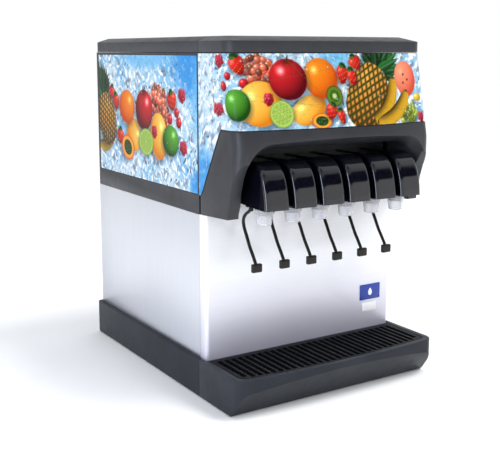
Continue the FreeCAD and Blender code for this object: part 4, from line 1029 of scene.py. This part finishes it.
def studio_world():
    """White room with a dark flag and a light strip in front, which the glossy covers pick up."""
    world = bpy.data.worlds.new("studio")
    world.use_nodes = True
    tree = world.node_tree
    background = tree.nodes["Background"]
    place = tree.nodes.new("ShaderNodeTexCoord")
    split = tree.nodes.new("ShaderNodeSeparateXYZ")
    tree.links.new(place.outputs["Generated"], split.inputs["Vector"])
    bands = tree.nodes.new("ShaderNodeValToRGB")
    # Height on the dome and brightness there.
    stops = ((0.0, 0.95), (0.245, 0.95), (0.275, 0.02), (0.475, 0.02), (0.505, 0.50), (0.66, 0.50),
             (0.69, 0.10), (0.90, 0.30))
    elements = bands.color_ramp.elements
    elements.remove(elements[-1])
    for i, (height, level) in enumerate(stops):
        stop = elements[0] if i == 0 else elements.new(height)
        stop.position = height
        stop.color = (level, level, level, 1)
    tree.links.new(split.outputs["Z"], bands.inputs["Fac"])
    in_front = remap(tree, split.outputs["Y"], 1.0, 0.0, -0.62, -0.48)
    lit = blend_colours(tree, in_front, (0.74, 0.76, 0.79), bands.outputs["Color"])
    path = tree.nodes.new("ShaderNodeLightPath")
    seen = blend_colours(tree, path.outputs["Is Camera Ray"], lit, (1.0, 1.0, 1.0))
    tree.links.new(seen, background.inputs["Color"])
    bpy.context.scene.world = world


def stage():
    mesh = bpy.data.meshes.new("floor")
    reach = 14.0
    mesh.from_pydata([(-reach, -reach, 0), (reach, -reach, 0), (reach, reach, 0), (-reach, reach, 0)],
                     [], [(0, 1, 2, 3)])
    floor = bpy.data.objects.new("floor", mesh)
    bpy.context.collection.objects.link(floor)
    material, tree, shader = new_material("pale_floor")
    cloud = remap(tree, mapped_noise(tree, EVEN, 3.0), 0.0, 1.0)
    tree.links.new(blend_colours(tree, cloud, (0.90, 0.90, 0.905), (0.93, 0.93, 0.93)),
                   shader.inputs["Base Color"])
    shader.inputs["Roughness"].default_value = 0.9
    mesh.materials.append(material)
    studio_world()
    centre = (0, 0, 0.35)
    for lamp in (area_light("key", (1.3, -2.4, 2.2), centre, (1.6, 1.2), 24),
                 area_light("fill", (-2.2, -1.2, 1.6), centre, (1.4, 1.6), 19),
                 area_light("top", (0.3, 0.1, 2.6), centre, (1.8, 1.8), 12)):
        lamp.visible_glossy = False
    area_light("edge_strip", (-1.9, -0.9, 0.5), (0, -0.2, 0.42), (0.30, 1.3), 14, (0.70, 0.80, 1.0))
    wash = bpy.data.lights.new("wash", "SUN")
    wash.energy = 1.7
    wash.angle = math.radians(22)
    wash_from = Vector((0.42, -0.30, 0.86))
    overhead = bpy.data.objects.new("wash", wash)
    overhead.rotation_euler = wash_from.to_track_quat("Z", "Y").to_euler()
    overhead.visible_glossy = False
    bpy.context.collection.objects.link(overhead)


def camera():
    data = bpy.data.cameras.new("camera")
    data.lens = 63.87
    data.sensor_width = 36.0
    data.shift_y = -0.07
    data.clip_end = 60
    view = bpy.data.objects.new("camera", data)
    view.location = (-1.03971, -1.42810 + splash_y * MM, 0.66813)
    view.rotation_euler = (math.radians(90 - 8.89), 0, -math.radians(32.51))
    bpy.context.collection.objects.link(view)
    bpy.context.scene.camera = view


bpy.context.scene.view_settings.view_transform = "Standard"
stage()
camera()
